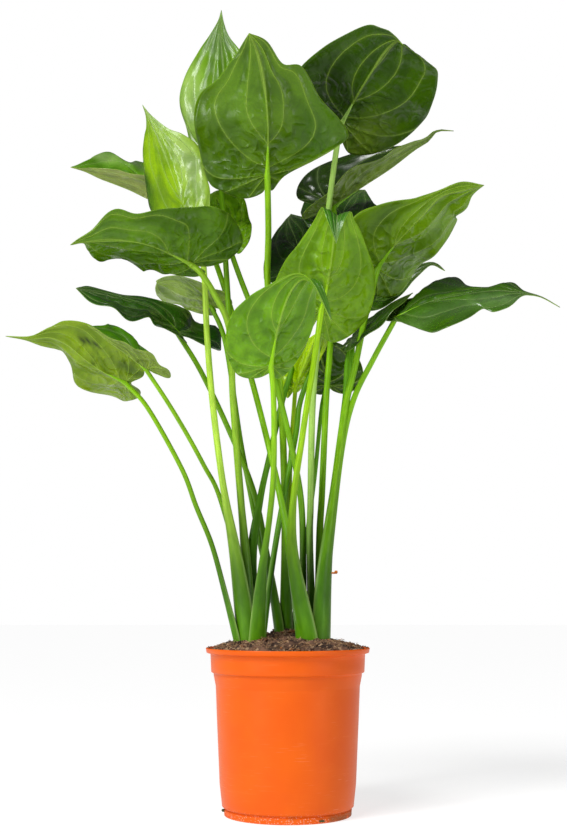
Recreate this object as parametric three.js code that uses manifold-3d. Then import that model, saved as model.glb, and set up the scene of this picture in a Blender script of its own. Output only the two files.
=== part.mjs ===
import * as THREE from 'three';
import { mergeVertices } from 'three/addons/utils/BufferGeometryUtils.js';
import Module from 'manifold-3d';

// A potted chinese taro: three clumps of long-stalked heart-shaped leaves in a plastic grower pot.
// Millimetres, +Z up. The origin is the middle of the pot's underside; -Y is the side it is seen from.

const wasm = await Module();
wasm.setup();

// The pot's outside from the underside up: radius, height
const potOutside = [
  [73, 0], [73.4, 6.8], [72.4, 7.6], [72.4, 8.8], [75.6, 10], [78.5, 35], [82.2, 112],
  [83.6, 145], [86, 157], [86.2, 160], [89, 161.2], [90, 182], [94.6, 183.4], [95.4, 188.4],
];
// and its inside from the lip down
const potInside = [
  [94.6, 189], [91.6, 188.2], [88.2, 182.4], [87.2, 162.4], [84.2, 158.4], [81.8, 145],
  [79.2, 83], [73.8, 11], [70.8, 9],
];
const floorThickness = 2.4;
const potSides = 36;
const drainCount = 6;
const drainRadius = 6;
const drainCircle = 54;

// The soil: lowest along the wall, a mound in the middle and a knoll behind it
const soilGap = 0.3;
const soilEdge = 184;
const soilRise = 11;
const knoll = { at: [-4, 44], rise: 13, spread: 24 };
const soilLumps = 1.1;
const soilRings = 4;
const soilSides = potSides;

// The leaves
const clearance = 0.35;
const smallest = 0.01;
const bladeThickness = 0.9;
const stalkSides = 8;
const stalkSteps = 10;
const ribDepth = 2.2;
const plantedDepth = 168;
const widestAt = 0.27;
const veinsLeaveFrom = 0.35;
const rings = [0, 0.07, 0.5, 1];
const ringsOfSmall = [0, 0.1, 1];
const smallWidth = 100;

// Half the outline of a blade, from the notch behind the stalk round the lobe to the tip:
// share of the half width, share of the midrib's length. A leaf may have its own leftEdge or rightEdge.
const halfOutline = [
  [0, -0.05], [0.12, -0.14], [0.36, -0.2], [0.66, -0.14], [0.9, 0.02], [1, 0.25],
  [0.96, 0.45], [0.82, 0.62], [0.58, 0.77], [0.32, 0.88], [0.1, 0.96], [0, 1],
];

// Each leaf: the points of its stalk from the soil up, the points of its midrib from the stalk to the
// tip, and the margin left and right of the midrib as seen from the underside with the tip up.
// sheath is the width of the stalk's base and the height at which it has narrowed to the plain stalk.
const leaves = [
  {
    name: 'leaf_front_low',
    stalk: [
      [-35, -26, 198], [-29, -50, 278], [-21, -72, 334], [-16, -90, 388], [-16, -108, 465], [-19, -112, 503],
    ],
    rib: [
      [-19, -112, 503], [-11, -140, 541], [-1, -160, 569], [8, -176, 581], [17, -192, 583], [28, -204, 572],
      [45, -208, 534],
    ],
    left: [-68, -120, 535], right: [29, -118, 542],
    leftEdge: [
      [0, -0.05], [0.19, -0.07], [0.45, -0.06], [0.7, -0.01], [0.92, 0.11], [1.01, 0.23], [0.96, 0.36],
      [0.72, 0.45], [0.4, 0.53], [0.17, 0.66], [0.06, 0.9], [0, 1],
    ],
    rightEdge: [
      [0, -0.05], [0.21, -0.09], [0.42, -0.07], [0.62, -0.01], [0.84, 0.1], [0.95, 0.24], [0.93, 0.36],
      [0.78, 0.46], [0.63, 0.57], [0.3, 0.77], [0.15, 0.92], [0, 1],
    ],
    lobe: 0.85, cup: 4, wave: 2, waves: 2, phase: 0.2, radius: 3, sheath: [20, 330], colour: 0x6a9a2c,
  },
  {
    name: 'leaf_front_middle',
    stalk: [
      [23, -24, 198], [6, -34, 290], [6, -46, 354], [16, -56, 426], [23, -60, 472], [31, -60, 523],
      [39, -55, 579],
    ],
    rib: [
      [39, -55, 579], [45, -72, 601], [50, -95, 633], [53, -112, 661], [55, -126, 671], [54, -140, 659],
      [53, -146, 633],
    ],
    left: [-14, -55, 619], right: [102, -52, 612],
    leftEdge: [
      [0, -0.05], [0.12, -0.2], [0.36, -0.26], [0.65, -0.22], [0.92, -0.06], [0.98, 0.16], [0.87, 0.36],
      [0.63, 0.52], [0.38, 0.66], [0.24, 0.82], [0.12, 0.91], [0, 1],
    ],
    rightEdge: [
      [0, -0.05], [0.14, -0.2], [0.45, -0.25], [0.79, -0.18], [1.03, -0.04], [1.06, 0.14], [0.96, 0.3],
      [0.77, 0.45], [0.52, 0.61], [0.31, 0.7], [0.08, 0.91], [0, 1],
    ],
    lobe: 1.2, cup: 4, wave: 2, waves: 2, phase: 0.6, radius: 3.2, sheath: [24, 380], colour: 0x6b9731,
  },
  {
    name: 'leaf_left_upright',
    stalk: [
      [-48, -16, 198], [-60, -22, 290], [-76, -30, 382], [-88, -34, 475], [-95, -32, 555], [-100, -22, 637],
      [-110, -8, 688],
    ],
    rib: [[-110, -8, 688], [-127, -2, 720], [-143, 6, 765], [-157, 12, 801], [-180, 18, 852]],
    left: [-90, -16, 735], right: [-174, 40, 739],
    leftEdge: [
      [0, -0.05], [0.14, -0.15], [0.34, -0.2], [0.36, -0.02], [0.67, 0.13], [0.89, 0.27], [0.89, 0.43],
      [0.95, 0.59], [0.71, 0.7], [0.4, 0.77], [0.12, 0.9], [0, 1],
    ],
    rightEdge: [
      [0, -0.05], [0.15, -0.12], [0.49, -0.16], [0.86, -0.04], [1.11, 0.15], [1.19, 0.25], [0.89, 0.45],
      [0.68, 0.62], [0.38, 0.75], [0.19, 0.82], [0.05, 0.91], [0, 1],
    ],
    lobe: 1, cup: -6, wave: 3, waves: 2, phase: 0.3, radius: 3.4, sheath: [26, 390], colour: 0x76a92b,
  },
  {
    name: 'leaf_right_broad',
    stalk: [
      [39, -14, 198], [43, -16, 278], [52, -14, 356], [63, -10, 438], [70, -8, 479], [81, -5, 523],
      [92, 0, 575], [107, 0, 640],
    ],
    rib: [[107, 0, 640], [128, -22, 665], [156, -44, 691], [179, -60, 712], [205, -68, 717], [228, -72, 722]],
    left: [96, -62, 695], right: [172, 25, 658],
    leftEdge: [
      [0, -0.05], [0.12, -0.16], [0.4, -0.24], [0.75, -0.2], [1.05, -0.05], [1.19, 0.15], [0.88, 0.3],
      [0.6, 0.45], [0.36, 0.57], [0.16, 0.7], [0.22, 0.84], [0, 1],
    ],
    rightEdge: [
      [0, -0.05], [0.2, -0.17], [0.55, -0.2], [0.85, -0.16], [1.06, -0.02], [1.06, 0.18], [1.07, 0.37],
      [1.1, 0.52], [0.84, 0.72], [0.6, 0.86], [0.22, 0.92], [0, 1],
    ],
    lobe: 1, cup: 4, wave: 5, waves: 2, phase: 0.1, radius: 3.6, sheath: [26, 400], colour: 0x648a28,
  },
  {
    name: 'leaf_left_high',
    stalk: [
      [16, -20, 198], [4, -20, 290], [-10, -8, 370], [-37, 20, 483], [-64, 48, 580], [-91, 72, 666],
      [-118, 90, 734],
    ],
    rib: [
      [-118, 90, 734], [-158, 97, 748], [-180, 100, 757], [-202, 101, 768], [-222, 101, 776],
      [-242, 99, 783], [-261, 95, 791], [-279, 90, 795],
    ],
    left: [-183, 150, 824], right: [-165, 60, 769],
    leftEdge: [
      [0, -0.05], [0.12, -0.14], [0.36, -0.2], [0.65, -0.14], [0.83, -0.03], [0.85, 0.34], [0.58, 0.49],
      [0.64, 0.61], [0.52, 0.71], [0.31, 0.81], [0.12, 0.91], [0, 1],
    ],
    rightEdge: [
      [0, -0.05], [0.11, -0.14], [0.32, -0.2], [0.58, -0.17], [0.78, 0.02], [1.08, 0.15], [0.81, 0.33],
      [0.81, 0.55], [0.56, 0.67], [0.31, 0.83], [0.09, 0.92], [0, 1],
    ],
    lobe: 1, cup: 3, wave: 7, waves: 2.5, phase: 0.4, radius: 3.2, sheath: [20, 400], colour: 0x5b9a1e,
  },
  {
    name: 'leaf_left_low',
    stalk: [
      [-58, -12, 192], [-73, -18, 253], [-88, -24, 307], [-106, -30, 351], [-123, -36, 395], [-162, -44, 464],
      [-188, -45, 495],
    ],
    rib: [
      [-188, -45, 495], [-213, -56, 506], [-233, -66, 519], [-252, -74, 534], [-271, -79, 541],
      [-294, -82, 539], [-321, -82, 542],
    ],
    left: [-225, -20, 487], right: [-202, -100, 543],
    leftEdge: [
      [0, -0.05], [0.1, -0.12], [0.42, -0.1], [0.84, 0], [1.25, 0.1], [1.38, 0.22], [1.24, 0.37],
      [1.1, 0.52], [0.86, 0.7], [0.44, 0.79], [0.1, 0.86], [0, 1],
    ],
    rightEdge: [
      [0, -0.05], [0.08, -0.05], [0.37, -0.13], [0.62, -0.1], [0.88, 0.04], [0.95, 0.16], [0.81, 0.32],
      [0.71, 0.46], [0.54, 0.57], [0.29, 0.65], [0.09, 0.78], [0, 1],
    ],
    lobe: 1, cup: 4, wave: 4, waves: 2, phase: 0.5, radius: 2.6, sheath: [14, 310], colour: 0x86a94b,
  },
  {
    name: 'leaf_top_right',
    stalk: [
      [28, 0, 197], [26, 0, 314], [27, 0, 357], [30, 0, 480], [41, 0, 601], [49, 0, 706],
      [60, 0, 791], [67, 0, 823],
    ],
    rib: [[67, 0, 823], [88, -52, 847], [110, -105, 867], [122, -132, 871], [128, -145, 863]],
    left: [11, -15, 885], right: [158, -15, 811],
    leftEdge: [
      [0, -0.05], [0.12, -0.14], [0.36, -0.2], [0.66, -0.14], [0.9, 0.05], [0.97, 0.24], [0.82, 0.46],
      [0.62, 0.68], [0.42, 0.84], [0.25, 0.89], [0.08, 0.95], [0, 1],
    ],
    rightEdge: [
      [0, -0.05], [0.14, -0.17], [0.35, -0.25], [0.66, -0.15], [0.94, 0.11], [1.02, 0.34], [0.96, 0.55],
      [0.84, 0.72], [0.72, 0.86], [0.5, 0.97], [0.22, 1.02], [0, 1],
    ],
    lobe: 1, cup: 5, wave: 4, waves: 2, phase: 0.8, radius: 3.4, sheath: [20, 360], colour: 0x3f6f0a,
  },
  {
    name: 'leaf_left_broad',
    stalk: [
      [-44, -4, 198], [-49, -8, 290], [-57, -18, 383], [-64, -34, 475], [-68, -48, 556], [-86, -58, 597],
      [-101, -62, 620], [-111, -60, 631],
    ],
    rib: [
      [-111, -60, 631], [-131, -78, 637], [-153, -92, 644], [-182, -106, 647], [-226, -116, 643],
      [-244, -118, 639],
    ],
    left: [-147, -40, 622], right: [-140, -122, 682],
    leftEdge: [
      [0, -0.05], [0.06, -0.14], [0.48, -0.07], [0.84, 0.17], [1.33, 0.34], [1.45, 0.54], [1.58, 0.68],
      [1.39, 0.97], [1.01, 1], [0.46, 0.95], [0.05, 0.91], [0, 1],
    ],
    rightEdge: [
      [0, -0.05], [0.19, -0.2], [0.64, -0.42], [1.06, -0.52], [1.39, -0.42], [1.59, -0.22], [1.21, -0.02],
      [1.01, 0.21], [0.67, 0.43], [0.72, 0.56], [0.29, 0.78], [0, 1],
    ],
    lobe: 1.4, cup: 4, wave: 4, waves: 2, phase: 0.2, radius: 3.4, sheath: [16, 380], colour: 0x4c8a05,
  },
  {
    name: 'leaf_top_front',
    stalk: [
      [-2, 38, 205], [-2, 36, 291], [-4, 32, 387], [-8, 24, 483], [-16, 12, 555], [-24, -5, 619],
      [-23, -25, 681], [-24, -50, 741],
    ],
    rib: [[-24, -50, 741], [-23, -85, 789], [-27, -108, 830], [-35, -125, 862], [-44, -135, 880]],
    left: [-111, -60, 790], right: [72, -60, 790],
    leftEdge: [
      [0, -0.05], [0.07, -0.14], [0.32, -0.2], [0.6, -0.17], [0.81, -0.1], [0.96, 0.18], [0.98, 0.43],
      [0.87, 0.6], [0.6, 0.72], [0.38, 0.84], [0.17, 0.94], [0, 1],
    ],
    rightEdge: [
      [0, -0.05], [0.06, -0.12], [0.22, -0.02], [0.58, 0.07], [0.84, 0.14], [1, 0.21], [0.88, 0.33],
      [0.65, 0.49], [0.48, 0.69], [0.26, 0.74], [0.15, 0.9], [0, 1],
    ],
    lobe: 0.9, cup: 6, wave: 5, waves: 2, phase: 0.7, radius: 3.6, sheath: [16, 380], colour: 0x4f7a22,
  },
  {
    name: 'leaf_right_long',
    stalk: [
      [44, 4, 197], [46, 4, 255], [51, 2, 314], [64, -2, 420], [78, -8, 479], [101, -12, 526],
      [127, -16, 577],
    ],
    rib: [
      [127, -16, 577], [169, -20, 595], [216, -24, 604], [249, -26, 607], [273, -26, 605], [299, -24, 601],
      [323, -22, 588],
    ],
    left: [169, -75, 550], right: [204, 48, 641],
    leftEdge: [
      [0, -0.05], [0.06, -0.03], [0.24, 0.03], [0.67, 0.13], [1.2, 0.28], [1.47, 0.36], [0.98, 0.46],
      [0.61, 0.54], [0.73, 0.61], [0.59, 0.7], [0.14, 0.76], [0.05, 0.83], [0, 1],
    ],
    rightEdge: [
      [0, -0.05], [0.3, -0.1], [0.52, 0], [0.43, 0.12], [0.7, 0.2], [1, 0.27], [0.5, 0.38], [0.3, 0.46],
      [0.22, 0.56], [0.46, 0.65], [0.14, 0.76], [0.03, 0.84], [0, 1],
    ],
    lobe: 0.7, cup: 3, wave: 5, waves: 2, phase: 0.1, radius: 3.2, sheath: [14, 330], colour: 0x3b6b2a,
  },
  {
    name: 'leaf_left_inner',
    stalk: [
      [17, 8, 197], [18, 5, 290], [16, 0, 357], [7, 0, 412], [-9, 5, 481], [-31, 14, 561],
      [-58, 24, 634], [-76, 32, 684],
    ],
    rib: [[-76, 32, 684], [-82, 50, 721], [-93, 60, 753]],
    left: [-105, 40, 718], right: [-45, 45, 706],
    rightEdge: [
      [0, -0.05], [0.15, -0.17], [0.37, -0.32], [0.66, -0.2], [0.92, 0.02], [1.02, 0.25], [1.02, 0.48],
      [1, 0.73], [0.79, 0.9], [0.47, 0.98], [0.17, 1.01], [0, 1],
    ],
    lobe: 1, cup: 4, wave: 3, waves: 2, phase: 0.3, radius: 3.2, sheath: [14, 380], colour: 0x44701a,
  },
  {
    name: 'leaf_right_high',
    stalk: [
      [38, 10, 197], [38, 14, 314], [41, 18, 371], [47, 34, 485], [52, 40, 547], [60, 50, 663],
      [57, 55, 734],
    ],
    rib: [
      [57, 55, 734], [92, 62, 760], [130, 66, 786], [161, 66, 810], [179, 64, 821], [190, 62, 833],
      [211, 60, 833],
    ],
    left: [79, 28, 764], right: [75, 112, 816],
    leftEdge: [
      [0, -0.05], [0.12, -0.15], [0.36, -0.22], [0.65, -0.16], [0.91, 0.02], [1.01, 0.2], [0.96, 0.42],
      [0.88, 0.6], [0.54, 0.7], [0.26, 0.83], [0.06, 0.91], [0, 1],
    ],
    rightEdge: [
      [0, -0.05], [0.35, -0.12], [0.71, -0.18], [0.94, -0.13], [1.03, 0.03], [1.08, 0.19], [0.88, 0.33],
      [0.62, 0.47], [0.36, 0.6], [0.13, 0.7], [0.05, 0.87], [0, 1],
    ],
    lobe: 1.1, cup: 4, wave: 4, waves: 2, phase: 0.3, radius: 3.4, sheath: [14, 360], colour: 0x4c6e2c,
  },
  {
    name: 'leaf_top_left',
    stalk: [
      [-44, 4, 197], [-49, 6, 290], [-55, 8, 361], [-65, 14, 482], [-72, 18, 599], [-81, 22, 732],
      [-83, 18, 781],
    ],
    rib: [[-83, 18, 781], [-79, 22, 844], [-80, 18, 902], [-83, 8, 938], [-82, 0, 967]],
    left: [-31, -5, 830], right: [-134, 38, 850],
    leftEdge: [
      [0, -0.05], [0.12, -0.14], [0.36, -0.2], [0.66, -0.14], [0.9, 0.02], [1, 0.25], [0.96, 0.4],
      [0.8, 0.55], [0.5, 0.7], [0.22, 0.82], [0.08, 0.92], [0, 1],
    ],
    rightEdge: [
      [0, -0.05], [0.12, -0.14], [0.36, -0.16], [0.66, -0.02], [0.9, 0.16], [1.04, 0.28], [1, 0.42],
      [0.86, 0.56], [0.55, 0.7], [0.25, 0.82], [0.07, 0.92], [0, 1],
    ],
    lobe: 1, cup: -5, wave: 4, waves: 2, phase: 0.5, radius: 3.2, sheath: [14, 340], colour: 0x7db32b,
  },
  {
    name: 'leaf_left_dark',
    stalk: [[-10, 32, 203], [-24, 34, 291], [-41, 36, 373], [-74, 36, 454], [-107, 34, 522], [-133, 30, 568]],
    rib: [[-133, 30, 568], [-150, 26, 585], [-168, 22, 597], [-202, 14, 605], [-230, 6, 611], [-255, 0, 616]],
    left: [-154, 75, 620], right: [-166, -22, 567],
    leftEdge: [
      [0, -0.05], [0.28, -0.13], [0.61, -0.31], [1.2, -0.4], [1.3, -0.04], [0.86, 0.13], [0.51, 0.38],
      [0.28, 0.56], [0.29, 0.76], [0.26, 0.89], [0.12, 0.96], [0, 1],
    ],
    rightEdge: [
      [0, -0.05], [0.06, -0.08], [0.12, -0.12], [0.26, 0], [0.54, 0.12], [0.92, 0.21], [1.02, 0.38],
      [1.05, 0.56], [0.9, 0.74], [0.58, 0.87], [0.2, 0.96], [0, 1],
    ],
    lobe: 1.5, cup: 4, wave: 5, waves: 2.5, phase: 0.5, radius: 3, sheath: [16, 330], colour: 0x1e4710,
  },
  {
    name: 'leaf_back_right',
    stalk: [
      [-29, -8, 198], [-18, -4, 286], [-3, 8, 373], [10, 24, 442], [16, 36, 485], [38, 54, 550],
      [59, 80, 644], [68, 100, 721],
    ],
    rib: [[68, 100, 721], [76, 140, 755], [91, 185, 785], [107, 210, 801]],
    left: [119, 128, 752], right: [18, 128, 749],
    leftEdge: [
      [0, -0.05], [0.12, -0.14], [0.37, -0.2], [0.71, -0.12], [0.95, 0.06], [1.06, 0.17], [0.85, 0.29],
      [0.67, 0.54], [0.45, 0.72], [0.25, 0.87], [0.08, 0.96], [0, 1],
    ],
    lobe: 1, cup: 4, wave: 5, waves: 2, phase: 0.2, radius: 3, sheath: [14, 340], colour: 0x1f3d12,
  },
  {
    name: 'leaf_back_left',
    stalk: [
      [-41, 8, 197], [-43, 10, 290], [-33, 16, 362], [-22, 24, 414], [-6, 40, 486], [16, 60, 564],
      [21, 72, 630], [18, 78, 667],
    ],
    rib: [[18, 78, 667], [11, 112, 705], [2, 148, 738], [5, 175, 757]],
    left: [57, 95, 700], right: [-31, 95, 671],
    rightEdge: [
      [0, -0.05], [0.15, -0.16], [0.42, -0.2], [0.78, -0.19], [1.04, -0.13], [1.03, 0.13], [0.83, 0.33],
      [0.69, 0.54], [0.42, 0.67], [0.18, 0.77], [0.06, 0.89], [0, 1],
    ],
    lobe: 1, cup: 4, wave: 5, waves: 2, phase: 0.6, radius: 3.2, sheath: [18, 400], colour: 0x203d14,
  },
  {
    name: 'leaf_left_folded',
    stalk: [
      [-46, 12, 197], [-56, 8, 273], [-80, -6, 363], [-97, -30, 398], [-116, -58, 433], [-136, -89, 466],
      [-156, -114, 499],
    ],
    rib: [[-156, -114, 499], [-177, -124, 514], [-197, -131, 527], [-210, -134, 537], [-220, -136, 544]],
    left: [-186, -86, 547], right: [-175, -151, 525],
    leftEdge: [
      [0, -0.05], [0.17, -0.15], [0.49, -0.25], [0.75, -0.17], [0.93, -0.02], [0.81, 0.24], [0.99, 0.43],
      [0.82, 0.56], [0.53, 0.71], [0.27, 0.85], [0.06, 0.95], [0, 1],
    ],
    rightEdge: [
      [0, -0.05], [0.14, -0.18], [0.58, -0.44], [1.05, -0.38], [0.88, -0.05], [0.78, 0.2], [0.58, 0.34],
      [0.38, 0.5], [0.24, 0.69], [0.16, 0.86], [0.06, 0.96], [0, 1],
    ],
    lobe: 1.25, cup: 3, wave: 4, waves: 2, phase: 0.4, radius: 2.4, sheath: [10, 300], colour: 0x6f9f3a,
  },
  {
    name: 'leaf_left_back',
    stalk: [
      [-8, 44, 203], [-29, 50, 291], [-46, 52, 376], [-58, 54, 438], [-73, 60, 538], [-82, 66, 577],
      [-94, 72, 609],
    ],
    rib: [[-94, 72, 609], [-124, 85, 630], [-147, 92, 642], [-167, 96, 645]],
    left: [-133, 125, 615], right: [-127, 45, 641],
    leftEdge: [
      [0, -0.05], [0.14, -0.11], [0.37, -0.15], [0.65, -0.08], [0.98, 0.16], [1.32, 0.25], [1.39, 0.47],
      [1.18, 0.61], [0.9, 0.76], [0.56, 0.87], [0.25, 0.96], [0, 1],
    ],
    rightEdge: [
      [0, -0.05], [0.2, -0.22], [0.72, -0.52], [1.08, -0.58], [1.08, -0.25], [0.9, 0.05], [0.86, 0.26],
      [0.72, 0.45], [0.52, 0.63], [0.3, 0.84], [0.1, 0.98], [0, 1],
    ],
    lobe: 1.7, cup: 5, wave: 2, waves: 2, phase: 0.15, radius: 2.9, sheath: [12, 320], colour: 0x7e9c66,
  },
  {
    name: 'leaf_young',
    stalk: [[0, 50, 203], [2, 50, 340], [3, 50, 401], [6, 50, 451], [9, 44, 501]],
    rib: [[9, 44, 501], [22, 34, 532], [37, 30, 568]],
    left: [-6, 58, 526], right: [47, 62, 549],
    leftEdge: [
      [0, -0.05], [0.13, -0.19], [0.29, -0.17], [0.53, -0.07], [0.79, 0.09], [0.99, 0.25], [0.97, 0.44],
      [0.83, 0.61], [0.59, 0.77], [0.32, 0.88], [0.1, 0.96], [0, 1],
    ],
    lobe: 1, cup: 4, wave: 1, waves: 1, phase: 0.2, radius: 2.6, sheath: [10, 300], colour: 0x8cbf00,
  },
  {
    name: 'leaf_low_back',
    stalk: [[5, 46, 203], [19, 56, 291], [33, 66, 390], [43, 76, 484], [51, 80, 510]],
    rib: [[51, 80, 510], [43, 72, 540], [31, 66, 570]],
    left: [13, 96, 529], right: [96, 100, 532],
    lobe: 1, cup: 3, wave: 2, waves: 2, phase: 0.4, radius: 2.4, sheath: [10, 300], colour: 0x24451a,
  },
  {
    name: 'leaf_right_inner',
    stalk: [[36, 18, 197], [41, 26, 291], [56, 35, 387], [70, 46, 487], [77, 57, 551], [106, 71, 614]],
    rib: [[106, 71, 614], [135, 76, 628], [159, 78, 647], [181, 76, 664], [199, 74, 655]],
    left: [133, 45, 606], right: [126, 114, 668],
    leftEdge: [
      [0, -0.05], [0.12, -0.14], [0.37, -0.2], [0.69, -0.14], [0.91, 0.01], [0.93, 0.23], [0.7, 0.33],
      [0.4, 0.44], [0.18, 0.58], [0.14, 0.78], [0.07, 0.92], [0, 1],
    ],
    rightEdge: [
      [0, -0.05], [0.12, -0.14], [0.36, -0.2], [0.67, -0.14], [0.9, 0.02], [0.96, 0.23], [0.83, 0.45],
      [0.6, 0.54], [0.28, 0.64], [0.1, 0.78], [0.05, 0.92], [0, 1],
    ],
    lobe: 1, cup: 3, wave: 3, waves: 2, phase: 0.2, radius: 2.8, sheath: [12, 320], colour: 0x33571b,
  },
  {
    name: 'leaf_right_low',
    stalk: [[46, 12, 197], [50, 18, 291], [60, 22, 386], [73, 24, 483], [79, 28, 558]],
    rib: [[79, 28, 558], [106, 20, 583], [130, 15, 602], [152, 12, 613]],
    left: [104, -22, 562], right: [98, 66, 588],
    rightEdge: [
      [0, -0.05], [0.12, -0.14], [0.36, -0.2], [0.66, -0.14], [0.9, 0.02], [0.95, 0.18], [0.84, 0.31],
      [0.66, 0.44], [0.43, 0.59], [0.2, 0.75], [0.08, 0.88], [0, 1],
    ],
    lobe: 1, cup: 0, wave: 2, waves: 2, phase: 0.7, radius: 2.6, sheath: [12, 320], colour: 0x4e6a3a,
  },
];

// The middles of the clumps that the sheaths wrap round
const clumps = [[-42, -3], [32, -2], [-2, 42]];

const vector = ([x, y, z]) => new THREE.Vector3(x, y, z);

// A closed mesh with shared vertices becomes a solid that can be joined and cut
function toSolid(positions, indices) {
  return new wasm.Manifold(new wasm.Mesh({
    numProp: 3,
    vertProperties: Float32Array.from(positions),
    triVerts: Uint32Array.from(indices),
  }));
}

function solidOf(geometry) {
  geometry.deleteAttribute('normal');
  geometry.deleteAttribute('uv');
  const merged = mergeVertices(geometry, 1e-4);
  return toSolid(merged.attributes.position.array, merged.index.array);
}

function meshOf(name, solid, material) {
  const { vertProperties, triVerts } = solid.simplify(smallest).getMesh();
  const geometry = new THREE.BufferGeometry();
  geometry.setAttribute('position', new THREE.BufferAttribute(vertProperties, 3));
  geometry.setIndex(new THREE.BufferAttribute(triVerts, 1));
  geometry.computeVertexNormals();
  const mesh = new THREE.Mesh(geometry, material);
  mesh.name = name;
  return mesh;
}

function largestPiece(solid) {
  return solid.decompose().reduce((a, b) => (a.volume() > b.volume() ? a : b));
}

// A tube whose section is an ellipse: section(i) gives its centre, its two half axes as vectors
function tube(stations, sides) {
  const positions = [];
  const indices = [];
  stations.forEach(({ centre, wide, deep }) => {
    for (let k = 0; k < sides; k += 1) {
      const angle = (2 * Math.PI * k) / sides;
      const point = centre.clone()
        .addScaledVector(wide, Math.cos(angle))
        .addScaledVector(deep, Math.sin(angle));
      positions.push(...point.toArray());
    }
  });
  const ends = stations.length * sides;
  positions.push(...stations[0].centre.toArray(), ...stations.at(-1).centre.toArray());
  for (let k = 0; k < sides; k += 1) {
    const next = (k + 1) % sides;
    for (let i = 0; i < stations.length - 1; i += 1) {
      const [a, b, c, d] = [i * sides + k, i * sides + next, (i + 1) * sides + k, (i + 1) * sides + next];
      indices.push(a, b, c, b, d, c);
    }
    const last = (stations.length - 1) * sides;
    indices.push(ends, next, k, ends + 1, last + k, last + next);
  }
  return toSolid(positions, indices);
}

const curveThrough = (points) => new THREE.CatmullRomCurve3(points, false, 'catmullrom', 0.5);

// The midrib as evenly spaced points, each with the vectors to the left and right margins and the
// upper side's normal, all turned along with the midrib from where the blade is widest
function ribFrames(leaf) {
  const count = 24;
  const curve = curveThrough(leaf.rib.map(vector));
  const points = curve.getSpacedPoints(count);
  const tangents = points.map((p, i) => points[Math.min(i + 1, count)].clone()
    .sub(points[Math.max(i - 1, 0)]).normalize());
  const start = Math.round(widestAt * count);
  const left = vector(leaf.left).sub(points[start]);
  const right = vector(leaf.right).sub(points[start]);
  const up = tangents[start].clone().cross(right.clone().sub(left)).normalize();
  const frames = [];
  frames[start] = { point: points[start], left, right, up };
  const turn = new THREE.Quaternion();
  const carry = (from, to) => {
    turn.setFromUnitVectors(tangents[from], tangents[to]);
    const source = frames[from];
    frames[to] = {
      point: points[to],
      left: source.left.clone().applyQuaternion(turn),
      right: source.right.clone().applyQuaternion(turn),
      up: source.up.clone().applyQuaternion(turn),
    };
  };
  for (let i = start; i < count; i += 1) carry(i, i + 1);
  for (let i = start; i > 0; i -= 1) carry(i, i - 1);
  return { frames, tangent: tangents[0], length: curve.getLength() };
}

// A point of the blade's middle surface: across is the share of the half width, negative on the left;
// along is the share of the midrib, negative behind the stalk
function bladePoint(leaf, spine, across, along) {
  const { frames, tangent, length } = spine;
  const place = Math.max(along, 0) * (frames.length - 1);
  const low = Math.min(Math.floor(place), frames.length - 2);
  const mix = (key) => frames[low][key].clone().lerp(frames[low + 1][key], place - low);
  const share = Math.abs(across);
  const ripple = Math.sin(2 * Math.PI * (leaf.waves * along + leaf.phase + (across < 0 ? 0.4 : 0)));
  const lift = leaf.cup * share ** 2 + leaf.wave * share ** 2 * ripple;
  return mix('point')
    .addScaledVector(tangent, Math.min(along, 0) * length)
    .addScaledVector(mix(across < 0 ? 'left' : 'right'), share)
    .addScaledVector(mix('up').normalize(), lift);
}

// The blade is a grid that follows the veins: each goes from the stalk or the midrib to the margin
function bladeSolid(leaf, spine) {
  const flat = new Map();
  const surface = [];
  const depths = [];
  const vertex = (across, along) => {
    const key = `${across.toFixed(5)} ${along.toFixed(5)}`;
    if (!flat.has(key)) {
      flat.set(key, surface.length);
      surface.push(bladePoint(leaf, spine, across, along));
      depths.push(across === 0 ? ribDepth * (1 - 0.8 * Math.max(along, 0)) : 0);
    }
    return flat.get(key);
  };
  const triangles = [];
  const width = vector(leaf.left).distanceTo(vector(leaf.right));
  const strips = width < smallWidth ? ringsOfSmall : rings;
  for (const side of [-1, 1]) {
    const outline = (side < 0 ? leaf.leftEdge : leaf.rightEdge)
      ?? halfOutline.map(([out, along]) => [out, along < 0 && out > 0 ? along * leaf.lobe : along]);
    const last = outline.length - 1;
    const grid = outline.map(([out, along], i) => {
      const start = Math.max((i / last - veinsLeaveFrom) / (1 - veinsLeaveFrom), 0) ** 1.15;
      const bendOut = 0.6 * out;
      const bendAlong = start + 0.35 * (along - start);
      return strips.map((s) => vertex(
        side * (2 * s * (1 - s) * bendOut + s * s * out) || 0,
        (1 - s) ** 2 * start + 2 * s * (1 - s) * bendAlong + s * s * along,
      ));
    });
    for (let i = 0; i < last; i += 1) {
      for (let j = 0; j < strips.length - 1; j += 1) {
        const [a, b, c, d] = [grid[i][j], grid[i][j + 1], grid[i + 1][j], grid[i + 1][j + 1]];
        const pair = side < 0 ? [[a, b, d], [a, d, c]] : [[a, d, b], [a, c, d]];
        triangles.push(...pair.filter(([p, q, r]) => p !== q && q !== r && r !== p));
      }
    }
  }
  return thicken(surface, triangles, depths);
}

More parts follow.
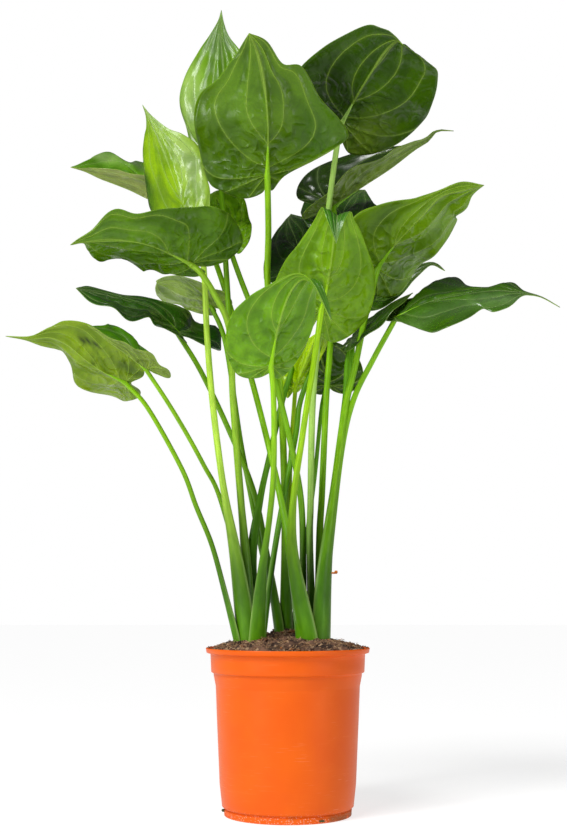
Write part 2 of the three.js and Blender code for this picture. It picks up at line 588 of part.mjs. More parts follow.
// A surface becomes a closed sheet, split into triangles alike on both faces and deeper at the midrib
function thicken(surface, triangles, depths) {
  const normals = surface.map(() => new THREE.Vector3());
  const border = new Map();
  for (const [a, b, c] of triangles) {
    const face = surface[b].clone().sub(surface[a]).cross(surface[c].clone().sub(surface[a]));
    for (const corner of [a, b, c]) normals[corner].add(face);
    for (const [p, q] of [[a, b], [b, c], [c, a]]) {
      if (!border.delete(`${q} ${p}`)) border.set(`${p} ${q}`, [p, q]);
    }
  }
  const count = surface.length;
  const positions = [];
  surface.forEach((point, i) => positions.push(
    ...point.clone().addScaledVector(normals[i].normalize(), bladeThickness / 2).toArray(),
  ));
  surface.forEach((point, i) => positions.push(
    ...point.clone().addScaledVector(normals[i], -bladeThickness / 2 - depths[i]).toArray(),
  ));
  const indices = triangles.flatMap(([a, b, c]) => [a, b, c, a + count, c + count, b + count]);
  for (const [p, q] of border.values()) indices.push(q, p, p + count, q, p + count, q + count);
  return toSolid(positions, indices);
}

// The stalk is round under the blade, runs on into the midrib, and widens into a flat sheath at its base
function stalkSolid(leaf, spine, grow = 0) {
  const points = leaf.stalk.map(vector);
  const foot = points[0].clone().lerp(points[1], -0.1);
  foot.z = plantedDepth;
  const under = (index, depth) => spine.frames[index].point.clone()
    .addScaledVector(spine.frames[index].up, -depth);
  const top = under(0, leaf.radius * 0.8);
  const curve = curveThrough([foot, ...points.slice(0, -1), top]);
  const clump = nearestClump(leaf);
  const outward = new THREE.Vector3(points[0].x - clump[0], points[0].y - clump[1], 0);
  if (outward.length() < 3) outward.set(0, -1, 0);
  outward.normalize();
  const [baseWidth, height] = leaf.sheath;
  const stations = [];
  for (let i = 0; i <= stalkSteps; i += 1) {
    const centre = curve.getPoint(i / stalkSteps);
    const tangent = curve.getTangent(i / stalkSteps);
    const plain = THREE.MathUtils.smoothstep(centre.z, 190, height);
    const round = leaf.radius * (1.25 - 0.25 * (i / stalkSteps));
    stations.push({
      centre,
      tangent,
      halfWidth: THREE.MathUtils.lerp(baseWidth / 2, round, plain),
      halfDepth: THREE.MathUtils.lerp(4, round, plain),
    });
  }
  for (const [index, depth, radius] of [[1, 1.6, 0.7], [3, 1, 0.4]]) {
    const tangent = spine.frames[index + 1].point.clone().sub(spine.frames[index].point).normalize();
    stations.push({
      centre: under(index, depth),
      tangent,
      halfWidth: leaf.radius * radius,
      halfDepth: leaf.radius * radius,
    });
  }
  const wide = new THREE.Vector3();
  return tube(stations.map(({ centre, tangent, halfWidth, halfDepth }, i) => {
    if (i === 0) wide.crossVectors(tangent, outward);
    wide.addScaledVector(tangent, -wide.dot(tangent)).normalize();
    const deep = tangent.clone().cross(wide);
    return {
      centre,
      wide: wide.clone().multiplyScalar(halfWidth + grow),
      deep: deep.multiplyScalar(halfDepth + grow),
    };
  }), stalkSides);
}

function nearestClump(leaf) {
  const distance = ([x, y]) => Math.hypot(leaf.stalk[0][0] - x, leaf.stalk[0][1] - y);
  return clumps.reduce((a, b) => (distance(a) < distance(b) ? a : b));
}

// A solid turned about the pot's axis from its outline in the half plane
function turned(outline) {
  const points = outline.map(([radius, height]) => new THREE.Vector2(radius, height));
  return solidOf(new THREE.LatheGeometry([...points, points[0]], potSides).rotateX(Math.PI / 2));
}

function potSolid() {
  const shell = turned([[0, 0], ...potOutside, ...potInside, [70.8, floorThickness], [0, floorThickness]]);
  const drains = Array.from({ length: drainCount }, (_, i) => {
    const angle = (2 * Math.PI * (i + 0.5)) / drainCount;
    const hole = new THREE.CylinderGeometry(drainRadius, drainRadius, 8, 10).rotateX(Math.PI / 2);
    return solidOf(hole.translate(drainCircle * Math.cos(angle), drainCircle * Math.sin(angle), 0));
  });
  return drains.reduce((rest, hole) => rest.subtract(hole), shell);
}

function soilHeight(x, y) {
  const out = Math.hypot(x, y) / 88;
  const fromKnoll = Math.hypot(x - knoll.at[0], y - knoll.at[1]) / knoll.spread;
  const lumps = Math.sin(x * 0.21 + 1) * Math.cos(y * 0.24) + 0.6 * Math.sin(x * 0.11 - y * 0.37);
  return soilEdge + soilRise * (1 - out ** 2) + knoll.rise * Math.exp(-(fromKnoll ** 2)) * (1 - out ** 4)
    + soilLumps * lumps;
}

// The soil fills the pot up to a lumpy mound
function soilSolid() {
  const positions = [];
  const indices = [];
  const wallRadii = potInside.slice(3).map(([radius, height]) => [radius - soilGap, height]);
  const rows = [];
  for (let i = 1; i <= soilRings; i += 1) rows.push([87.4 * (i / soilRings), null]);
  rows.push(...wallRadii, [70.8 - soilGap, floorThickness + soilGap]);
  rows.forEach(([radius, height]) => {
    for (let k = 0; k < soilSides; k += 1) {
      const angle = (2 * Math.PI * k) / soilSides;
      const [x, y] = [radius * Math.cos(angle), radius * Math.sin(angle)];
      positions.push(x, y, height ?? soilHeight(x, y));
    }
  });
  const middle = rows.length * soilSides;
  positions.push(0, 0, soilHeight(0, 0), 0, 0, floorThickness + soilGap);
  for (let k = 0; k < soilSides; k += 1) {
    const next = (k + 1) % soilSides;
    indices.push(middle, k, next);
    for (let i = 0; i < rows.length - 1; i += 1) {
      const [a, b] = [i * soilSides + k, i * soilSides + next];
      indices.push(a, a + soilSides, b, b, a + soilSides, b + soilSides);
    }
    const last = (rows.length - 1) * soilSides;
    indices.push(middle + 1, last + next, last + k);
  }
  return toSolid(positions, indices);
}

const group = new THREE.Group();
const material = (color, roughness) => new THREE.MeshStandardMaterial({ color, roughness, metalness: 0 });

const grown = [];
for (const leaf of leaves) {
  const spine = ribFrames(leaf);
  let solid = bladeSolid(leaf, spine).add(stalkSolid(leaf, spine));
  for (const other of grown) solid = solid.subtract(other);
  grown.push(stalkSolid(leaf, spine, clearance));
  group.add(meshOf(leaf.name, largestPiece(solid), material(leaf.colour, 0.45)));
}

let soil = soilSolid();
for (const stalk of grown) soil = soil.subtract(stalk);
group.add(meshOf('soil', largestPiece(soil), material(0x4a3526, 1)));
group.add(meshOf('pot', potSolid(), material(0xf26a12, 0.4)));

export default group;
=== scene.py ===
import math

import bpy
import numpy as np
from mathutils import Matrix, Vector


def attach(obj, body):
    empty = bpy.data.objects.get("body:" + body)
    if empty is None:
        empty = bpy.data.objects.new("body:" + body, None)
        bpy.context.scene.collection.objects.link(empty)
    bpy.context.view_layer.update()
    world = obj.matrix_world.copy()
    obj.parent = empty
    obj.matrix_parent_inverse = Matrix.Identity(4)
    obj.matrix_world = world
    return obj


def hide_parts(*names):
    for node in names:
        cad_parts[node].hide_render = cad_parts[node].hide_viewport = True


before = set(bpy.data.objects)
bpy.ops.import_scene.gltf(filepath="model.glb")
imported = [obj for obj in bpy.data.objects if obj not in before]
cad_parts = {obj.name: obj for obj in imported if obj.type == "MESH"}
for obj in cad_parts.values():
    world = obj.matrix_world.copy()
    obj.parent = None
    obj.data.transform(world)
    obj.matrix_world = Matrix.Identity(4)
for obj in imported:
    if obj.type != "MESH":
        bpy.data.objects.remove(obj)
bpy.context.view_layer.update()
scene = bpy.context.scene
chance = np.random.default_rng(41)
mm = 0.001


def linear(hexColour):
    # sRGB hex to linear red, green, blue, alpha
    share = np.array([int(hexColour[i:i + 2], 16) for i in (1, 3, 5)]) / 255
    share = np.where(share <= 0.04045, share / 12.92, ((share + 0.055) / 1.055) ** 2.4)
    return (*share.tolist(), 1.0)


def put(tree, kind, inputs=None, **settings):
    # adds a node, sets it, and sets or links its inputs
    node = tree.nodes.new('ShaderNode' + kind)
    for key, value in settings.items():
        setattr(node, key, value)
    for key, value in (inputs or {}).items():
        if isinstance(value, bpy.types.NodeSocket):
            tree.links.new(value, node.inputs[key])
        else:
            node.inputs[key].default_value = value
    return node.outputs


def newMaterial(name):
    material = bpy.data.materials.new(name)
    material.use_nodes = True
    tree = material.node_tree
    shader = tree.nodes['Principled BSDF']
    return material, tree, shader


def wire(tree, shader, **sources):
    # links values to the shader's sockets; underscores stand for the blanks in their names
    for key, source in sources.items():
        tree.links.new(source, shader.inputs[key.replace('_', ' ')])


def mixColour(tree, factor, a, b, blend='MIX'):
    return put(tree, 'Mix', {0: factor, 6: a, 7: b}, data_type='RGBA', blend_type=blend)[2]


def ramp(tree, value, low, high, toLow=0.0, toHigh=1.0):
    return put(tree, 'MapRange', {0: value, 1: low, 2: high, 3: toLow, 4: toHigh},
               interpolation_type='SMOOTHSTEP')[0]


def calc(tree, operation, a, b=0.0):
    return put(tree, 'Math', {0: a, 1: b}, operation=operation)[0]


def times(tree, a, b):
    return calc(tree, 'MULTIPLY', a, b)


def noise(tree, place, scale, detail, **more):
    return put(tree, 'TexNoise', {'Vector': place, 'Scale': scale, 'Detail': detail, **more})[0]


def stretched(tree, place, scale, **more):
    return put(tree, 'Mapping', {'Vector': place, 'Scale': scale, **more})[0]


def relief(tree, height, strength=1.0, distance=0.001):
    return put(tree, 'Bump', {'Strength': strength, 'Distance': distance, 'Height': height})[0]


def setShader(shader, **values):
    # constants, set on the shader's own sockets
    for key, value in values.items():
        shader.inputs[key.replace('_', ' ')].default_value = value


def smoothstep(value, low, high):
    share = np.clip((value - low) / (high - low), 0, 1)
    return share * share * (3 - 2 * share)


def unit(vectors):
    return vectors / np.maximum(np.linalg.norm(vectors, axis=-1, keepdims=True), 1e-12)


def smoothCurve(points, t):
    # a Catmull-Rom curve through the points; t runs from 0 at the first to 1 at the last
    points = np.asarray(points, float)
    padded = np.vstack([2 * points[0] - points[1], points, 2 * points[-1] - points[-2]])
    place = np.asarray(t) * (len(points) - 1)
    low = np.clip(np.floor(place).astype(int), 0, len(points) - 2)
    f = (place - low)[..., None]
    p0, p1, p2, p3 = (padded[low + i] for i in range(4))
    return 0.5 * (2 * p1 + (p2 - p0) * f + (2 * p0 - 5 * p1 + 4 * p2 - p3) * f ** 2
                  + (3 * p1 - p0 - 3 * p2 + p3) * f ** 3)


def gridTriangles(rows, columns, closed=False):
    # two triangles for each cell of a grid whose points are numbered row by row
    i, j = np.meshgrid(np.arange(rows - 1), np.arange(columns if closed else columns - 1), indexing='ij')
    a = i * columns + j
    b = i * columns + (j + 1) % columns
    c, d = a + columns, b + columns
    return np.concatenate([np.stack([a, b, d], -1).reshape(-1, 3), np.stack([a, d, c], -1).reshape(-1, 3)])


def makePiece(name, points, triangles, materials, node, which=None, corner=None, colours=None):
    # points in millimetres and triangles become a piece on the frame that stands for a CAD node;
    # corner holds values for each triangle corner, colours for each point
    mesh = bpy.data.meshes.new(name)
    mesh.vertices.add(len(points))
    mesh.vertices.foreach_set('co', (points * mm).ravel())
    mesh.loops.add(triangles.size)
    mesh.loops.foreach_set('vertex_index', triangles.ravel().astype(np.int32))
    mesh.polygons.add(len(triangles))
    mesh.polygons.foreach_set('loop_start', np.arange(0, triangles.size, 3, dtype=np.int32))
    mesh.polygons.foreach_set('use_smooth', np.full(len(triangles), True))
    for material in materials:
        mesh.materials.append(material)
    if which is not None:
        mesh.polygons.foreach_set('material_index', which.astype(np.int32))
    for key, values in (corner or {}).items():
        if values.shape[-1] == 2:
            mesh.uv_layers.new(name=key).data.foreach_set('uv', values.ravel())
        else:
            mesh.attributes.new(key, 'FLOAT', 'CORNER').data.foreach_set('value', values.ravel())
    for key, values in (colours or {}).items():
        mesh.attributes.new(key, 'FLOAT_COLOR', 'POINT').data.foreach_set('color', values.ravel())
    mesh.update()
    mesh.validate()
    piece = bpy.data.objects.new(name, mesh)
    scene.collection.objects.link(piece)
    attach(piece, 'root')
    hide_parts(node)
    return piece


view = {'place': (-0.005, -1.6, 0.258), 'tilt': 7.2, 'lens': 58.56, 'sensor': 36, 'farthest': 50}
camera = bpy.data.objects.new('camera', bpy.data.cameras.new('camera'))
camera.location = view['place']
camera.rotation_euler = (math.radians(90 + view['tilt']), 0, 0)
camera.data.lens = view['lens']
camera.data.sensor_width = view['sensor']
camera.data.clip_end = view['farthest']
scene.collection.objects.link(camera)
scene.camera = camera
scene.view_settings.view_transform = 'Standard'

studio = {
    'sky': 0.07, 'backdrop': 1.0,
    'sun': {'from': (-0.55, -0.75, 1.15), 'angle': 24, 'strength': 2.3},
    'softboxes': [   # name, place, aimed at, width and height, watts
        ('left softbox', (-1.5, -1.5, 0.95), (0, 0, 0.6), (0.35, 1.5), 24),
        ('right softbox', (1.7, -1.3, 0.7), (0, 0, 0.45), (0.6, 1.6), 13),
    ],
    'floor': {'half': 8, 'height': -0.0004, 'colour': '#9A9A9A', 'glow': 0.76},
}


def aimed(lamp, place, target):
    lamp.location = place
    lamp.rotation_euler = (Vector(target) - Vector(place)).to_track_quat('-Z', 'Y').to_euler()
    scene.collection.objects.link(lamp)


# the sky lights the plant dimly from all round, and is plain white behind it
world = bpy.data.worlds.new('studio')
world.use_nodes = True
background = world.node_tree.nodes['Background']
background.inputs['Color'].default_value = (1, 1, 1, 1)
seen = put(world.node_tree, 'LightPath')['Is Camera Ray']
world.node_tree.links.new(put(world.node_tree, 'MapRange', {
    0: seen, 3: studio['sky'], 4: studio['backdrop']})[0], background.inputs['Strength'])
scene.world = world
sun = bpy.data.objects.new('overhead', bpy.data.lights.new('overhead', 'SUN'))
sun.data.angle = math.radians(studio['sun']['angle'])
sun.data.energy = studio['sun']['strength']
aimed(sun, studio['sun']['from'], (0, 0, 0))
for name, place, target, size, watts in studio['softboxes']:
    lamp = bpy.data.objects.new(name, bpy.data.lights.new(name, 'AREA'))
    lamp.data.shape = 'RECTANGLE'
    lamp.data.size, lamp.data.size_y = size
    lamp.data.energy = watts
    aimed(lamp, place, target)

floorMesh = bpy.data.meshes.new('floor')
half, height = studio['floor']['half'], studio['floor']['height']
corners = [(-half, -half, height), (half, -half, height), (half, half, height), (-half, half, height)]
floorMesh.from_pydata(corners, [], [(0, 1, 2, 3)])
floor = bpy.data.objects.new('floor', floorMesh)
scene.collection.objects.link(floor)
paper, tree, shader = newMaterial('white studio paper')
# lit a little from below, as a sweep table is
setShader(shader, Base_Color=linear(studio['floor']['colour']), Roughness=1.0, Emission_Color=(1, 1, 1, 1),
          Emission_Strength=studio['floor']['glow'])
floorMesh.materials.append(paper)
print('stage ready')


bladeLooks = {
    'upper': {
        'material': 'waxy leaf upper side', 'vein': '#BADB80', 'veinShare': 0.45, 'veinStrength': 0.55,
        'veinFade': (0.62, 0.2), 'ribReach': 1.1, 'veinRelief': -0.5, 'crumpling': 2.2,
        'roughness': (0.33, 0.2), 'specular': 0.45, 'coat': 0.2,
    },
    'under': {
        'material': 'matt leaf underside', 'vein': '#AACD4E', 'veinShare': 0.55, 'veinStrength': 0.64,
        'veinFade': (0.85, 0.3), 'ribReach': 1.5, 'veinRelief': 0.5, 'crumpling': 11.5,
        'roughness': (0.35, 0.24), 'specular': 0.27, 'coat': 0.0,
    },
    'darker': (0.44, 0.53, 0.3, 1), 'lighter': (1.36, 1.3, 1.0, 1),
}


def bladeMaterial(side):
    # the upper side is waxy, with sunken pale veins; the underside is duller, its veins stand out as
    # ribs, and it is crumpled most near the stalk; both have a mottled green and a pale margin
    looks = bladeLooks[side]
    material, tree, shader = newMaterial(looks['material'])
    tint = put(tree, 'Attribute', attribute_name=side)['Color']
    veinMap = put(tree, 'UVMap', uv_map='veins')[0]   # vein number, centimetres from the stalk
    fromStalk = put(tree, 'SeparateXYZ', {0: veinMap})
    gap, fromRib, fromEdge = (put(tree, 'Attribute', attribute_name=key)['Fac']
                              for key in ('gap', 'fromRib', 'fromEdge'))   # millimetres
    place = put(tree, 'TexCoord')['Object']
    patches = noise(tree, place, 38, 3)
    grain = noise(tree, place, 420, 3)
    cells = put(tree, 'TexVoronoi', {'Vector': place, 'Scale': 330})['Distance']
    streaks = noise(tree, stretched(tree, veinMap, (1.7, 0.22, 1)), 1, 1, Distortion=0.7)
    crumple = calc(tree, 'SUBTRACT', noise(tree, place, 62, 0.6, Distortion=0.4), 0.5)
    crumple = times(tree, calc(tree, 'ABSOLUTE', crumple), ramp(tree, fromStalk[1], 2.5, 9, 1.0, 0.25))
    toVein = times(tree, calc(tree, 'PINGPONG', fromStalk[0], 0.5), gap)
    line = ramp(tree, toVein, *looks['veinFade'])
    halo = ramp(tree, toVein, 4.0, 0.0)
    rib = ramp(tree, fromRib, looks['ribReach'], 0.4)
    network = calc(tree, 'MAXIMUM', times(tree, line, 0.9), rib)
    pale = mixColour(tree, looks['veinShare'], tint, linear(looks['vein']))
    dark = mixColour(tree, 1.0, tint, bladeLooks['darker'], 'MULTIPLY')
    light = mixColour(tree, 1.0, tint, bladeLooks['lighter'], 'MULTIPLY')
    mottle = calc(tree, 'ADD', times(tree, streaks, 0.6), times(tree, patches, 0.4))
    body = mixColour(tree, ramp(tree, mottle, 0.38, 0.63), dark, light)
    body = mixColour(tree, 0.5, body, tint)
    body = mixColour(tree, times(tree, halo, 0.14), body, pale)
    body = mixColour(tree, times(tree, network, looks['veinStrength']), body, pale)
    body = mixColour(tree, times(tree, ramp(tree, grain, 0.4, 0.7), 0.16), body, dark)
    body = mixColour(tree, times(tree, ramp(tree, fromEdge, 1.1, 0.3), 0.35), body, pale)
    height = times(tree, network, looks['veinRelief'])
    height = calc(tree, 'ADD', height, times(tree, cells, 0.06))
    height = calc(tree, 'ADD', height, times(tree, streaks, 1.3))
    height = calc(tree, 'SUBTRACT', height, times(tree, crumple, looks['crumpling']))
    height = calc(tree, 'ADD', height, times(tree, patches, 0.5))
    wire(tree, shader, Base_Color=body, Roughness=ramp(tree, streaks, 0.35, 0.65, *looks['roughness']),
         Normal=relief(tree, height))
    setShader(shader, IOR=1.45, Specular_IOR_Level=looks['specular'], Coat_Weight=looks['coat'],
              Coat_Roughness=0.2, Subsurface_Weight=0.1, Subsurface_Radius=(0.5, 1.0, 0.2),
              Subsurface_Scale=0.002)
    return material


def stalkMaterial(name):
    # smooth juicy leaf stalk: long faint streaks, wet-looking highlight
    material, tree, shader = newMaterial(name)
    tint = put(tree, 'Attribute', attribute_name='skin')['Color']
    skinMap = put(tree, 'UVMap', uv_map='around')[0]   # share of the way round, centimetres up
    streaks = noise(tree, stretched(tree, skinMap, (9, 0.35, 1)), 1, 4)
    blots = noise(tree, put(tree, 'TexCoord')['Object'], 60, 2)
    dark = mixColour(tree, 1.0, tint, (0.55, 0.62, 0.5, 1), 'MULTIPLY')
    light = mixColour(tree, 1.0, tint, (1.3, 1.2, 1.3, 1), 'MULTIPLY')
    body = mixColour(tree, ramp(tree, streaks, 0.3, 0.7), dark, light)
    body = mixColour(tree, 0.5, body, tint)
    body = mixColour(tree, times(tree, ramp(tree, blots, 0.55, 0.8), 0.35), body, dark)
    wire(tree, shader, Base_Color=body, Roughness=ramp(tree, blots, 0.3, 0.7, 0.34, 0.46),
         Normal=relief(tree, streaks, 0.6, 0.0004))
    setShader(shader, IOR=1.42, Specular_IOR_Level=0.3, Subsurface_Weight=0.15,
              Subsurface_Radius=(0.5, 1.0, 0.2), Subsurface_Scale=0.003)
    return material


upperSide = bladeMaterial('upper')
underSide = bladeMaterial('under')
stalkSkin = stalkMaterial('leaf stalk skin')


# Half the outline of a blade, from the notch behind the stalk round the lobe to the tip:
# share of the half width, share of the midrib's length
edgeEnds = [(0, -0.05), (0, 1)]   # the notch and the tip, on every outline
halfOutline = [
    (0.12, -0.14), (0.36, -0.2), (0.66, -0.14), (0.9, 0.02), (1, 0.25),
    (0.96, 0.45), (0.82, 0.62), (0.58, 0.77), (0.32, 0.88), (0.1, 0.96),
]
clumps = [(-42, -3), (32, -2), (-2, 42)]

